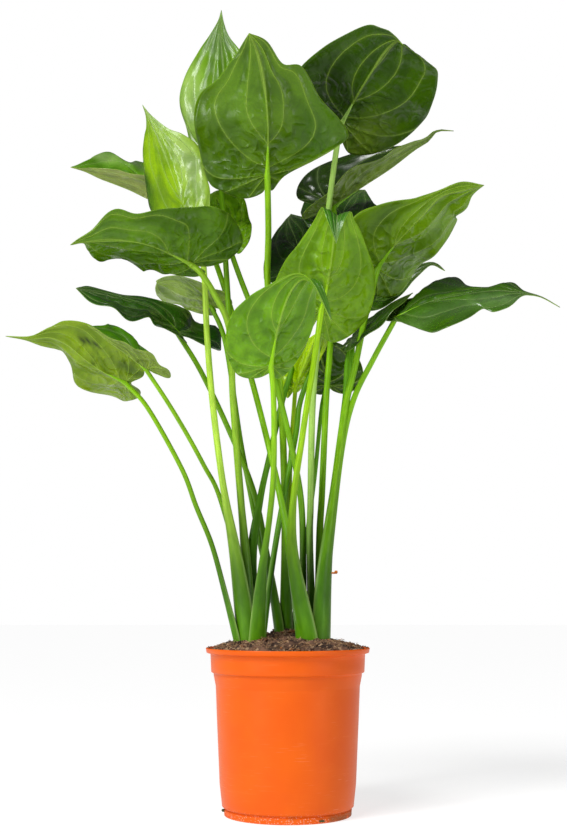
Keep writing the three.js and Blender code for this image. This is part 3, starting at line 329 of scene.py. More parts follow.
# Each leaf: stalk and rib are points up the stalk and along the midrib, and left and right are points
# of the margins where the blade is widest, all in millimetres. The edges are as halfOutline, and lobe
# stretches that where a side has no edge of its own. A patch is a soft tint: place across and along,
# size, colour, weight; some patches are painted sheen and some painted shade, as marked at each leaf.
# A sheath is its width and the height where it ends.
leaves = [
    {'name': 'leaf_front_low', 'cup': 4, 'wave': 2, 'waves': 2, 'phase': 0.2,
     'radius': 3, 'sheath': (20, 330), 'upper': '#3F7A08', 'under': '#5F8F0C', 'stem': '#8AC10E',
     'stalk': [(-35, -26, 198), (-29, -50, 278), (-21, -72, 334), (-16, -90, 388), (-16, -108, 465),
         (-19, -112, 503)],
     'rib': [(-19, -112, 503), (-11, -140, 541), (-1, -160, 569), (8, -176, 581), (17, -192, 583),
         (28, -204, 572), (45, -208, 534)],
     'left': (-68, -120, 535), 'right': (29, -118, 542),
     'leftEdge': [(0.19, -0.07), (0.45, -0.06), (0.7, -0.01), (0.92, 0.11), (1.01, 0.23), (0.96, 0.36),
         (0.72, 0.45), (0.4, 0.53), (0.17, 0.66), (0.06, 0.9)],
     'rightEdge': [(0.21, -0.09), (0.42, -0.07), (0.62, -0.01), (0.84, 0.1), (0.95, 0.24), (0.93, 0.36),
         (0.78, 0.46), (0.63, 0.57), (0.3, 0.77), (0.15, 0.92)]},
    {'name': 'leaf_front_middle', 'cup': 4, 'wave': 2, 'waves': 2, 'phase': 0.6,
     'radius': 3.2, 'sheath': (24, 380), 'upper': '#2F6A07', 'under': '#6B970E', 'stem': '#9ACC12',
     'stalk': [(23, -24, 198), (6, -34, 290), (6, -46, 354), (16, -56, 426), (23, -60, 472), (31, -60, 523),
         (39, -55, 579)],
     'rib': [(39, -55, 579), (45, -72, 601), (50, -95, 633), (53, -112, 661), (55, -126, 671),
         (54, -140, 659), (53, -146, 633)],
     'left': (-14, -55, 619), 'right': (102, -52, 612),
     'leftEdge': [(0.12, -0.2), (0.36, -0.26), (0.65, -0.22), (0.92, -0.06), (0.98, 0.16), (0.87, 0.36),
         (0.63, 0.52), (0.38, 0.66), (0.24, 0.82), (0.12, 0.91)],
     'rightEdge': [(0.14, -0.2), (0.45, -0.25), (0.79, -0.18), (1.03, -0.04), (1.06, 0.14), (0.96, 0.3),
         (0.77, 0.45), (0.52, 0.61), (0.31, 0.7), (0.08, 0.91)]},
    {'name': 'leaf_left_upright', 'quilting': 0.55, 'cup': -6, 'wave': 3, 'waves': 2, 'phase': 0.3,
     'radius': 3.4, 'sheath': (26, 390), 'upper': '#7EA50F', 'under': '#6F9F11', 'stem': '#B5DE49',
     'stalk': [(-48, -16, 198), (-60, -22, 290), (-76, -30, 382), (-88, -34, 475), (-95, -32, 555),
         (-100, -22, 637), (-110, -8, 688)],
     'rib': [(-110, -8, 688), (-127, -2, 720), (-143, 6, 765), (-157, 12, 801), (-180, 18, 852)],
     'left': (-90, -16, 735), 'right': (-174, 40, 739),
     'leftEdge': [(0.14, -0.15), (0.34, -0.2), (0.36, -0.02), (0.67, 0.13), (0.89, 0.27), (0.89, 0.43),
         (0.95, 0.59), (0.71, 0.7), (0.4, 0.77), (0.12, 0.9)],
     'rightEdge': [(0.15, -0.12), (0.49, -0.16), (0.86, -0.04), (1.11, 0.15), (1.19, 0.25), (0.89, 0.45),
         (0.68, 0.62), (0.38, 0.75), (0.19, 0.82), (0.05, 0.91)],
     # the pale third patch is a painted sheen; the two dark ones darken one edge
     'upperPatches': [(0.94, 0.4, 0.22, '#1F4A08', 0.85), (1.12, 0.17, 0.22, '#2A560E', 0.7),
         (-0.56, 0.47, 0.3, '#A9C184', 0.6)]},
    {'name': 'leaf_right_broad', 'cup': 4, 'wave': 5, 'waves': 2, 'phase': 0.1,
     'radius': 3.6, 'sheath': (26, 400), 'upper': '#2F5F06', 'under': '#648A0C', 'stem': '#7FB90D',
     'stalk': [(39, -14, 198), (43, -16, 278), (52, -14, 356), (63, -10, 438), (70, -8, 479), (81, -5, 523),
         (92, 0, 575), (107, 0, 640)],
     'rib': [(107, 0, 640), (128, -22, 665), (156, -44, 691), (179, -60, 712), (205, -68, 717),
         (228, -72, 722)],
     'left': (96, -62, 695), 'right': (172, 25, 658),
     'leftEdge': [(0.12, -0.16), (0.4, -0.24), (0.75, -0.2), (1.05, -0.05), (1.19, 0.15), (0.88, 0.3),
         (0.6, 0.45), (0.36, 0.57), (0.16, 0.7), (0.22, 0.84)],
     'rightEdge': [(0.2, -0.17), (0.55, -0.2), (0.85, -0.16), (1.06, -0.02), (1.06, 0.18), (1.07, 0.37),
         (1.1, 0.52), (0.84, 0.72), (0.6, 0.86), (0.22, 0.92)],
     # the first patch is painted shade on the lower half of the blade near the stalk; the second darkens
     # the folded upper margin
     'underPatches': [(0.64, -0.04, 0.3, '#34580C', 0.7), (-0.62, 0.3, 0.2, '#2A4A08', 0.6)]},
    {'name': 'leaf_left_high', 'cup': 3, 'wave': 7, 'waves': 2.5, 'phase': 0.4,
     'radius': 3.2, 'sheath': (20, 400), 'upper': '#5D940B', 'under': '#7F8D49', 'stem': '#7FB90D',
     'stalk': [(16, -20, 198), (4, -20, 290), (-10, -8, 370), (-37, 20, 483), (-64, 48, 580),
         (-91, 72, 666), (-118, 90, 734)],
     'rib': [(-118, 90, 734), (-158, 97, 748), (-180, 100, 757), (-202, 101, 768), (-222, 101, 776),
         (-242, 99, 783), (-261, 95, 791), (-279, 90, 795)],
     'left': (-183, 150, 824), 'right': (-165, 60, 769),
     'leftEdge': [(0.12, -0.14), (0.36, -0.2), (0.65, -0.14), (0.83, -0.03), (0.85, 0.34), (0.58, 0.49),
         (0.64, 0.61), (0.52, 0.71), (0.31, 0.81), (0.12, 0.91)],
     'rightEdge': [(0.11, -0.14), (0.32, -0.2), (0.58, -0.17), (0.78, 0.02), (1.08, 0.15), (0.81, 0.33),
         (0.81, 0.55), (0.56, 0.67), (0.31, 0.83), (0.09, 0.92)],
     # both patches are a painted grey sheen
     'upperPatches': [(-0.66, 0.47, 0.12, '#6C7466', 0.8), (-0.5, 0.68, 0.12, '#A2B67C', 0.5)]},
    {'name': 'leaf_left_low', 'cup': 4, 'wave': 4, 'waves': 2, 'phase': 0.5,
     'radius': 2.6, 'sheath': (14, 310), 'upper': '#4E7A0A', 'under': '#759313', 'stem': '#84BC0F',
     'stalk': [(-58, -12, 192), (-73, -18, 253), (-88, -24, 307), (-106, -30, 351), (-123, -36, 395),
         (-162, -44, 464), (-188, -45, 495)],
     'rib': [(-188, -45, 495), (-213, -56, 506), (-233, -66, 519), (-252, -74, 534), (-271, -79, 541),
         (-294, -82, 539), (-321, -82, 542)],
     'left': (-225, -20, 487), 'right': (-202, -100, 543),
     'leftEdge': [(0.1, -0.12), (0.42, -0.1), (0.84, 0), (1.25, 0.1), (1.38, 0.22), (1.24, 0.37),
         (1.1, 0.52), (0.86, 0.7), (0.44, 0.79), (0.1, 0.86)],
     'rightEdge': [(0.08, -0.05), (0.37, -0.13), (0.62, -0.1), (0.88, 0.04), (0.95, 0.16), (0.81, 0.32),
         (0.71, 0.46), (0.54, 0.57), (0.29, 0.65), (0.09, 0.78)],
     # the three small dark spots are painted shade in a slit, and the fourth patch is painted shade on the
     # lobe; the last greys the other lobe
     'underPatches': [(0.31, 0.43, 0.04, '#14240A', 0.95), (0.39, 0.39, 0.04, '#14240A', 0.95),
         (0.47, 0.32, 0.04, '#14240A', 0.95), (0.36, -0.02, 0.16, '#2E4A10', 0.8),
         (-0.11, -0.12, 0.2, '#6A7A4A', 0.6)]},
    {'name': 'leaf_top_right', 'cup': 5, 'wave': 4, 'waves': 2, 'phase': 0.8,
     # its underside green is darkened as painted shade, for the blade faces down and away from the light
     'radius': 3.4, 'sheath': (20, 360), 'upper': '#2A4E02', 'under': '#335302', 'stem': '#9CC45C',
     'stalk': [(28, 0, 197), (26, 0, 314), (27, 0, 357), (30, 0, 480), (41, 0, 601), (49, 0, 706),
         (60, 0, 791), (67, 0, 823)],
     'rib': [(67, 0, 823), (88, -52, 847), (110, -105, 867), (122, -132, 871), (128, -145, 863)],
     'left': (11, -15, 885), 'right': (158, -15, 811),
     'leftEdge': [(0.12, -0.14), (0.36, -0.2), (0.66, -0.14), (0.9, 0.05), (0.97, 0.24), (0.82, 0.46),
         (0.62, 0.68), (0.42, 0.84), (0.25, 0.89), (0.08, 0.95)],
     'rightEdge': [(0.14, -0.17), (0.35, -0.25), (0.66, -0.15), (0.94, 0.11), (1.02, 0.34), (0.96, 0.55),
         (0.84, 0.72), (0.72, 0.86), (0.5, 0.97), (0.22, 1.02)],
     # the second and third patches are painted shade on the half that faces away from the light; the first
     # makes a lobe paler
     'underPatches': [(0.42, -0.16, 0.3, '#7E9A2E', 0.7), (-0.36, 0.18, 0.35, '#1E3404', 0.6),
         (-0.13, 0.71, 0.3, '#24420A', 0.4)]},
    {'name': 'leaf_left_broad', 'cup': 4, 'wave': 4, 'waves': 2, 'phase': 0.2,
     'radius': 3.4, 'sheath': (16, 380), 'upper': '#2F6404', 'under': '#4D7503', 'stem': '#8CB82A',
     'stalk': [(-44, -4, 198), (-49, -8, 290), (-57, -18, 383), (-64, -34, 475), (-68, -48, 556),
         (-86, -58, 597), (-101, -62, 620), (-111, -60, 631)],
     'rib': [(-111, -60, 631), (-131, -78, 637), (-153, -92, 644), (-182, -106, 647), (-226, -116, 643),
         (-244, -118, 639)],
     'left': (-147, -40, 622), 'right': (-140, -122, 682),
     'leftEdge': [(0.06, -0.14), (0.48, -0.07), (0.84, 0.17), (1.33, 0.34), (1.45, 0.54), (1.58, 0.68),
         (1.39, 0.97), (1.01, 1), (0.46, 0.95), (0.05, 0.91)],
     'rightEdge': [(0.19, -0.2), (0.64, -0.42), (1.06, -0.52), (1.39, -0.42), (1.59, -0.22), (1.21, -0.02),
         (1.01, 0.21), (0.67, 0.43), (0.72, 0.56), (0.29, 0.78)],
     'underPatches': [(0.79, -0.3, 0.3, '#3C6408', 0.5), (0.23, 0.65, 0.3, '#6F9A3A', 0.4)]},
    {'name': 'leaf_top_front', 'cup': 6, 'wave': 5, 'waves': 2, 'phase': 0.7,
     'radius': 3.6, 'sheath': (16, 380), 'upper': '#3A6A07', 'under': '#4A6D05', 'stem': '#86BC10',
     'stalk': [(-2, 38, 205), (-2, 36, 291), (-4, 32, 387), (-8, 24, 483), (-16, 12, 555), (-24, -5, 619),
         (-23, -25, 681), (-24, -50, 741)],
     'rib': [(-24, -50, 741), (-23, -85, 789), (-27, -108, 830), (-35, -125, 862), (-44, -135, 880)],
     'left': (-111, -60, 790), 'right': (72, -60, 790),
     'leftEdge': [(0.07, -0.14), (0.32, -0.2), (0.6, -0.17), (0.81, -0.1), (0.96, 0.18), (0.98, 0.43),
         (0.87, 0.6), (0.6, 0.72), (0.38, 0.84), (0.17, 0.94)],
     'rightEdge': [(0.06, -0.12), (0.22, -0.02), (0.58, 0.07), (0.84, 0.14), (1, 0.21), (0.88, 0.33),
         (0.65, 0.49), (0.48, 0.69), (0.26, 0.74), (0.15, 0.9)],
     'underPatches': [(0.64, 0.21, 0.3, '#3C6A06', 0.5), (-0.57, -0.11, 0.3, '#375E08', 0.5),
         (-0.33, 0.62, 0.35, '#5F8C14', 0.4)]},
    {'name': 'leaf_right_long', 'cup': 3, 'wave': 5, 'waves': 2, 'phase': 0.1,
     'radius': 3.2, 'sheath': (14, 330), 'upper': '#355C0B', 'under': '#4D700D', 'stem': '#7FB90D',
     'stalk': [(44, 4, 197), (46, 4, 255), (51, 2, 314), (64, -2, 420), (78, -8, 479), (101, -12, 526),
         (127, -16, 577)],
     'rib': [(127, -16, 577), (169, -20, 595), (216, -24, 604), (249, -26, 607), (273, -26, 605),
         (299, -24, 601), (323, -22, 588)],
     'left': (169, -75, 550), 'right': (204, 48, 641),
     'leftEdge': [(0.06, -0.03), (0.24, 0.03), (0.67, 0.13), (1.2, 0.28), (1.47, 0.36), (0.98, 0.46),
         (0.61, 0.54), (0.73, 0.61), (0.59, 0.7), (0.14, 0.76), (0.05, 0.83)],
     'rightEdge': [(0.3, -0.1), (0.52, 0), (0.43, 0.12), (0.7, 0.2), (1, 0.27), (0.5, 0.38), (0.3, 0.46),
         (0.22, 0.56), (0.46, 0.65), (0.14, 0.76), (0.03, 0.84)],
     # both patches are a painted grey sheen on the lower half
     'upperPatches': [(-0.54, 0.21, 0.3, '#5A7A44', 0.5), (-0.33, 0.64, 0.2, '#6C8A5C', 0.5)]},
    {'name': 'leaf_left_inner', 'lobe': 1, 'cup': 4, 'wave': 3, 'waves': 2, 'phase': 0.3,
     'radius': 3.2, 'sheath': (14, 380), 'upper': '#51780F', 'under': '#80B510', 'stem': '#6FA50D',
     'stalk': [(17, 8, 197), (18, 5, 290), (16, 0, 357), (7, 0, 412), (-9, 5, 481), (-31, 14, 561),
         (-58, 24, 634), (-76, 32, 684)],
     'rib': [(-76, 32, 684), (-82, 50, 721), (-93, 60, 753)],
     'left': (-105, 40, 718), 'right': (-45, 45, 706),
     'rightEdge': [(0.15, -0.17), (0.37, -0.32), (0.66, -0.2), (0.92, 0.02), (1.02, 0.25), (1.02, 0.48),
         (1, 0.73), (0.79, 0.9), (0.47, 0.98), (0.17, 1.01)],
     'underPatches': [(1.16, 0.5, 0.2, '#1E3608', 0.9)]},
    {'name': 'leaf_right_high', 'cup': 4, 'wave': 4, 'waves': 2, 'phase': 0.3,
     'radius': 3.4, 'sheath': (14, 360), 'upper': '#233D01', 'under': '#647D29', 'stem': '#7FB90D',
     'stalk': [(38, 10, 197), (38, 14, 314), (41, 18, 371), (47, 34, 485), (52, 40, 547), (60, 50, 663),
         (57, 55, 734)],
     'rib': [(57, 55, 734), (92, 62, 760), (130, 66, 786), (161, 66, 810), (179, 64, 821), (190, 62, 833),
         (211, 60, 833)],
     'left': (79, 28, 764), 'right': (75, 112, 816),
     'leftEdge': [(0.12, -0.15), (0.36, -0.22), (0.65, -0.16), (0.91, 0.02), (1.01, 0.2), (0.96, 0.42),
         (0.88, 0.6), (0.54, 0.7), (0.26, 0.83), (0.06, 0.91)],
     'rightEdge': [(0.35, -0.12), (0.71, -0.18), (0.94, -0.13), (1.03, 0.03), (1.08, 0.19), (0.88, 0.33),
         (0.62, 0.47), (0.36, 0.6), (0.13, 0.7), (0.05, 0.87)],
     'underPatches': [(0, 0.86, 0.12, '#22400C', 0.9), (0.19, 0.59, 0.2, '#86965C', 0.5)]},
    {'name': 'leaf_top_left', 'quilting': 0.7, 'cup': -5, 'wave': 4, 'waves': 2, 'phase': 0.5,
     'radius': 3.2, 'sheath': (14, 340), 'upper': '#628E08', 'under': '#5C860B', 'stem': '#6FA50D',
     'stalk': [(-44, 4, 197), (-49, 6, 290), (-55, 8, 361), (-65, 14, 482), (-72, 18, 599), (-81, 22, 732),
         (-83, 18, 781)],
     'rib': [(-83, 18, 781), (-79, 22, 844), (-80, 18, 902), (-83, 8, 938), (-82, 0, 967)],
     'left': (-31, -5, 830), 'right': (-134, 38, 850),
     'leftEdge': [(0.12, -0.14), (0.36, -0.2), (0.66, -0.14), (0.9, 0.02), (1, 0.25), (0.96, 0.4),
         (0.8, 0.55), (0.5, 0.7), (0.22, 0.82), (0.08, 0.92)],
     'rightEdge': [(0.12, -0.14), (0.36, -0.16), (0.66, -0.02), (0.9, 0.16), (1.04, 0.28), (1, 0.42),
         (0.86, 0.56), (0.55, 0.7), (0.25, 0.82), (0.07, 0.92)],
     # the pale first patch is a painted sheen; the second darkens the blade near its tip
     'upperPatches': [(0.79, 0.35, 0.3, '#A9C67C', 0.5), (-0.02, 0.78, 0.3, '#2C5C06', 0.5)]},
    {'name': 'leaf_left_dark', 'cup': 4, 'wave': 5, 'waves': 2.5, 'phase': 0.5,
     'radius': 3, 'sheath': (16, 330), 'upper': '#1E4704', 'under': '#4A6A21', 'stem': '#6FA50D',
     'stalk': [(-10, 32, 203), (-24, 34, 291), (-41, 36, 373), (-74, 36, 454), (-107, 34, 522),
         (-133, 30, 568)],
     'rib': [(-133, 30, 568), (-150, 26, 585), (-168, 22, 597), (-202, 14, 605), (-230, 6, 611),
         (-255, 0, 616)],
     'left': (-154, 75, 620), 'right': (-166, -22, 567),
     'leftEdge': [(0.28, -0.13), (0.61, -0.31), (1.2, -0.4), (1.3, -0.04), (0.86, 0.13), (0.51, 0.38),
         (0.28, 0.56), (0.29, 0.76), (0.26, 0.89), (0.12, 0.96)],
     'rightEdge': [(0.06, -0.08), (0.12, -0.12), (0.26, 0), (0.54, 0.12), (0.92, 0.21), (1.02, 0.38),
         (1.05, 0.56), (0.9, 0.74), (0.58, 0.87), (0.2, 0.96)],
     # both patches are a painted grey sheen
     'underPatches': [(0.29, 0.32, 0.3, '#7C8C6C', 0.5), (0.69, 0.7, 0.25, '#46603A', 0.5)]},
    {'name': 'leaf_back_right', 'lobe': 1, 'cup': 4, 'wave': 5, 'waves': 2, 'phase': 0.2,
     'radius': 3, 'sheath': (14, 340), 'upper': '#2C5406', 'under': '#386406', 'stem': '#5E9A0C',
     'stalk': [(-29, -8, 198), (-18, -4, 286), (-3, 8, 373), (10, 24, 442), (16, 36, 485), (38, 54, 550),
         (59, 80, 644), (68, 100, 721)],
     'rib': [(68, 100, 721), (76, 140, 755), (91, 185, 785), (107, 210, 801)],
     'left': (119, 128, 752), 'right': (18, 128, 749),
     'leftEdge': [(0.12, -0.14), (0.37, -0.2), (0.71, -0.12), (0.95, 0.06), (1.06, 0.17), (0.85, 0.29),
         (0.67, 0.54), (0.45, 0.72), (0.25, 0.87), (0.08, 0.96)]},
    {'name': 'leaf_back_left', 'lobe': 1, 'cup': 4, 'wave': 5, 'waves': 2, 'phase': 0.6,
     'radius': 3.2, 'sheath': (18, 400), 'upper': '#244507', 'under': '#2F5207', 'stem': '#5E9A0C',
     'stalk': [(-41, 8, 197), (-43, 10, 290), (-33, 16, 362), (-22, 24, 414), (-6, 40, 486), (16, 60, 564),
         (21, 72, 630), (18, 78, 667)],
     'rib': [(18, 78, 667), (11, 112, 705), (2, 148, 738), (5, 175, 757)],
     'left': (57, 95, 700), 'right': (-31, 95, 671),
     'rightEdge': [(0.15, -0.16), (0.42, -0.2), (0.78, -0.19), (1.04, -0.13), (1.03, 0.13), (0.83, 0.33),
         (0.69, 0.54), (0.42, 0.67), (0.18, 0.77), (0.06, 0.89)]},
    {'name': 'leaf_left_folded', 'cup': 3, 'wave': 4, 'waves': 2, 'phase': 0.4,
     'radius': 2.4, 'sheath': (10, 300), 'upper': '#467D07', 'under': '#6D852F', 'stem': '#84BC0F',
     'stalk': [(-46, 12, 197), (-56, 8, 273), (-80, -6, 363), (-97, -30, 398), (-116, -58, 433),
         (-136, -89, 466), (-156, -114, 499)],
     'rib': [(-156, -114, 499), (-177, -124, 514), (-197, -131, 527), (-210, -134, 537), (-220, -136, 544)],
     'left': (-186, -86, 547), 'right': (-175, -151, 525),
     'leftEdge': [(0.17, -0.15), (0.49, -0.25), (0.75, -0.17), (0.93, -0.02), (0.81, 0.24), (0.99, 0.43),
         (0.82, 0.56), (0.53, 0.71), (0.27, 0.85), (0.06, 0.95)],
     'rightEdge': [(0.14, -0.18), (0.58, -0.44), (1.05, -0.38), (0.88, -0.05), (0.78, 0.2), (0.58, 0.34),
         (0.38, 0.5), (0.24, 0.69), (0.16, 0.86), (0.06, 0.96)]},
    {'name': 'leaf_left_back', 'cup': 5, 'wave': 2, 'waves': 2, 'phase': 0.15,
     'radius': 2.9, 'sheath': (12, 320), 'upper': '#4A7A0D', 'under': '#78933D', 'stem': '#6FA50D',
     'stalk': [(-8, 44, 203), (-29, 50, 291), (-46, 52, 376), (-58, 54, 438), (-73, 60, 538),
         (-82, 66, 577), (-94, 72, 609)],
     'rib': [(-94, 72, 609), (-124, 85, 630), (-147, 92, 642), (-167, 96, 645)],
     'left': (-133, 125, 615), 'right': (-127, 45, 641),
     'leftEdge': [(0.14, -0.11), (0.37, -0.15), (0.65, -0.08), (0.98, 0.16), (1.32, 0.25), (1.39, 0.47),
         (1.18, 0.61), (0.9, 0.76), (0.56, 0.87), (0.25, 0.96)],
     'rightEdge': [(0.2, -0.22), (0.72, -0.52), (1.08, -0.58), (1.08, -0.25), (0.9, 0.05), (0.86, 0.26),
         (0.72, 0.45), (0.52, 0.63), (0.3, 0.84), (0.1, 0.98)]},
    {'name': 'leaf_young', 'lobe': 1, 'cup': 4, 'wave': 1, 'waves': 1, 'phase': 0.2,
     'radius': 2.6, 'sheath': (10, 300), 'upper': '#A9D501', 'under': '#B4DD01', 'stem': '#A6CF12',
     'stalk': [(0, 50, 203), (2, 50, 340), (3, 50, 401), (6, 50, 451), (9, 44, 501)],
     'rib': [(9, 44, 501), (22, 34, 532), (37, 30, 568)],
     'left': (-6, 58, 526), 'right': (47, 62, 549),
     'leftEdge': [(0.13, -0.19), (0.29, -0.17), (0.53, -0.07), (0.79, 0.09), (0.99, 0.25), (0.97, 0.44),
         (0.83, 0.61), (0.59, 0.77), (0.32, 0.88), (0.1, 0.96)]},
    {'name': 'leaf_low_back', 'lobe': 1, 'cup': 3, 'wave': 2, 'waves': 2, 'phase': 0.4,
     'radius': 2.4, 'sheath': (10, 300), 'upper': '#2F4E06', 'under': '#2F4E06', 'stem': '#5E9A0C',
     'stalk': [(5, 46, 203), (19, 56, 291), (33, 66, 390), (43, 76, 484), (51, 80, 510)],
     'rib': [(51, 80, 510), (43, 72, 540), (31, 66, 570)],
     'left': (13, 96, 529), 'right': (96, 100, 532)},
    {'name': 'leaf_right_inner', 'cup': 3, 'wave': 3, 'waves': 2, 'phase': 0.2,
     'radius': 2.8, 'sheath': (12, 320), 'upper': '#2F5207', 'under': '#36530A', 'stem': '#5E9A0C',
     'stalk': [(36, 18, 197), (41, 26, 291), (56, 35, 387), (70, 46, 487), (77, 57, 551), (106, 71, 614)],
     'rib': [(106, 71, 614), (135, 76, 628), (159, 78, 647), (181, 76, 664), (199, 74, 655)],
     'left': (133, 45, 606), 'right': (126, 114, 668),
     'leftEdge': [(0.12, -0.14), (0.37, -0.2), (0.69, -0.14), (0.91, 0.01), (0.93, 0.23), (0.7, 0.33),
         (0.4, 0.44), (0.18, 0.58), (0.14, 0.78), (0.07, 0.92)],
     'rightEdge': [(0.12, -0.14), (0.36, -0.2), (0.67, -0.14), (0.9, 0.02), (0.96, 0.23), (0.83, 0.45),
         (0.6, 0.54), (0.28, 0.64), (0.1, 0.78), (0.05, 0.92)]},
    {'name': 'leaf_right_low', 'lobe': 1, 'cup': 0, 'wave': 2, 'waves': 2, 'phase': 0.7,
     'radius': 2.6, 'sheath': (12, 320), 'upper': '#2F5207', 'under': '#4E6A22', 'stem': '#5E9A0C',
     'stalk': [(46, 12, 197), (50, 18, 291), (60, 22, 386), (73, 24, 483), (79, 28, 558)],
     'rib': [(79, 28, 558), (106, 20, 583), (130, 15, 602), (152, 12, 613)],
     'left': (104, -22, 562), 'right': (98, 66, 588),
     'rightEdge': [(0.12, -0.14), (0.36, -0.2), (0.66, -0.14), (0.9, 0.02), (0.95, 0.18), (0.84, 0.31),
         (0.66, 0.44), (0.43, 0.59), (0.2, 0.75), (0.08, 0.88)]},
]

blade = {
    'thickness': 0.6, 'ribDepth': 2.0, 'ribWidth': 2.0, 'quilting': 2.4, 'wrinkling': 0.3,
    'spokes': 84, 'steps': 24, 'widestAt': 0.27, 'veinsLeaveFrom': 0.35,
    # where the main veins leave, in shares of the way from the notch to the tip
    'veinStarts': (0.04, 0.13, 0.22, 0.31, 0.4, 0.53, 0.74),
}


def turnBetween(a, b):
    # the smallest rotation that carries direction a to direction b, as a matrix
    axis = np.cross(a, b)
    cross = np.array([[0, -axis[2], axis[1]], [axis[2], 0, -axis[0]], [-axis[1], axis[0], 0]])
    return np.eye(3) + cross + cross @ cross / (1 + a @ b)


def midribFrames(leaf, count=24):
    # evenly spaced points of the midrib, each with its vectors to the margins and the upper side's
    # normal, turned along with the midrib from where the blade is widest
    fine = smoothCurve(leaf['rib'], np.linspace(0, 1, 400))
    length = np.concatenate([[0], np.cumsum(np.linalg.norm(np.diff(fine, axis=0), axis=1))])
    even = np.linspace(0, length[-1], count + 1)
    points = np.stack([np.interp(even, length, fine[:, k]) for k in range(3)], 1)
    step = np.arange(count + 1)
    tangents = unit(points[np.minimum(step + 1, count)] - points[np.maximum(step - 1, 0)])
    start = round(blade['widestAt'] * count)
    left = np.zeros((count + 1, 3))
    right = left.copy()
    up = left.copy()
    left[start] = np.array(leaf['left']) - points[start]
    right[start] = np.array(leaf['right']) - points[start]
    up[start] = unit(np.cross(tangents[start], right[start] - left[start]))
    for way in (1, -1):
        for i in range(start, count if way > 0 else 0, way):
            turn = turnBetween(tangents[i], tangents[i + way])
            for vectors in (left, right, up):
                vectors[i + way] = turn @ vectors[i]
    return {'points': points, 'left': left, 'right': right, 'up': up,
            'tangent': tangents[0], 'length': length[-1]}


def bladePoints(leaf, spine, across, along):
    # the midrib's point, plus the share of the vector to that side's margin, plus a lift of
    # cup * share^2 and a ripple of wave * share^2 * sin(waves * along) towards the upper side
    count = len(spine['points']) - 1
    place = np.maximum(along, 0) * count
    low = np.clip(np.floor(place).astype(int), 0, count - 1)
    f = (place - low)[..., None]
    points, left, right, up = (spine[k][low] * (1 - f) + spine[k][low + 1] * f
                               for k in ('points', 'left', 'right', 'up'))
    share = np.abs(across)
    ripple = np.sin(2 * np.pi * (leaf['waves'] * along + leaf['phase'] + np.where(across < 0, 0.4, 0)))
    lift = leaf['cup'] * share ** 2 + leaf['wave'] * share ** 2 * ripple
    side = np.where((across < 0)[..., None], left, right)
    return (points + spine['tangent'] * (np.minimum(along, 0) * spine['length'])[..., None]
            + side * share[..., None] + unit(up) * lift[..., None])


def veinField(around, outward):
    # which vein passes a point, as a number that is whole on each main vein: a vein that starts at s
    # nears a share of (1.56 - 1.56 s)^2.6 of the way out, as 1 - exp of the way gone round;
    # halving the range of s finds the one through each point
    low = np.full(around.shape, -0.3)
    high = around.copy()
    for _ in range(26):
        start = (low + high) / 2
        reach = (1.5625 * (1 - start)) ** 2.6
        slack = 0.05 + 0.07 * smoothstep(start, 0.33, 0.42)
        beyond = reach * (1 - np.exp(-(around - start) / slack)) > outward
        low = np.where(beyond, start, low)
        high = np.where(beyond, high, start)
    starts = np.array([-0.5, *blade['veinStarts'], 1.0])
    return np.interp(start, starts, np.array([-7.5, *range(len(starts) - 2), len(starts) - 0.4]))


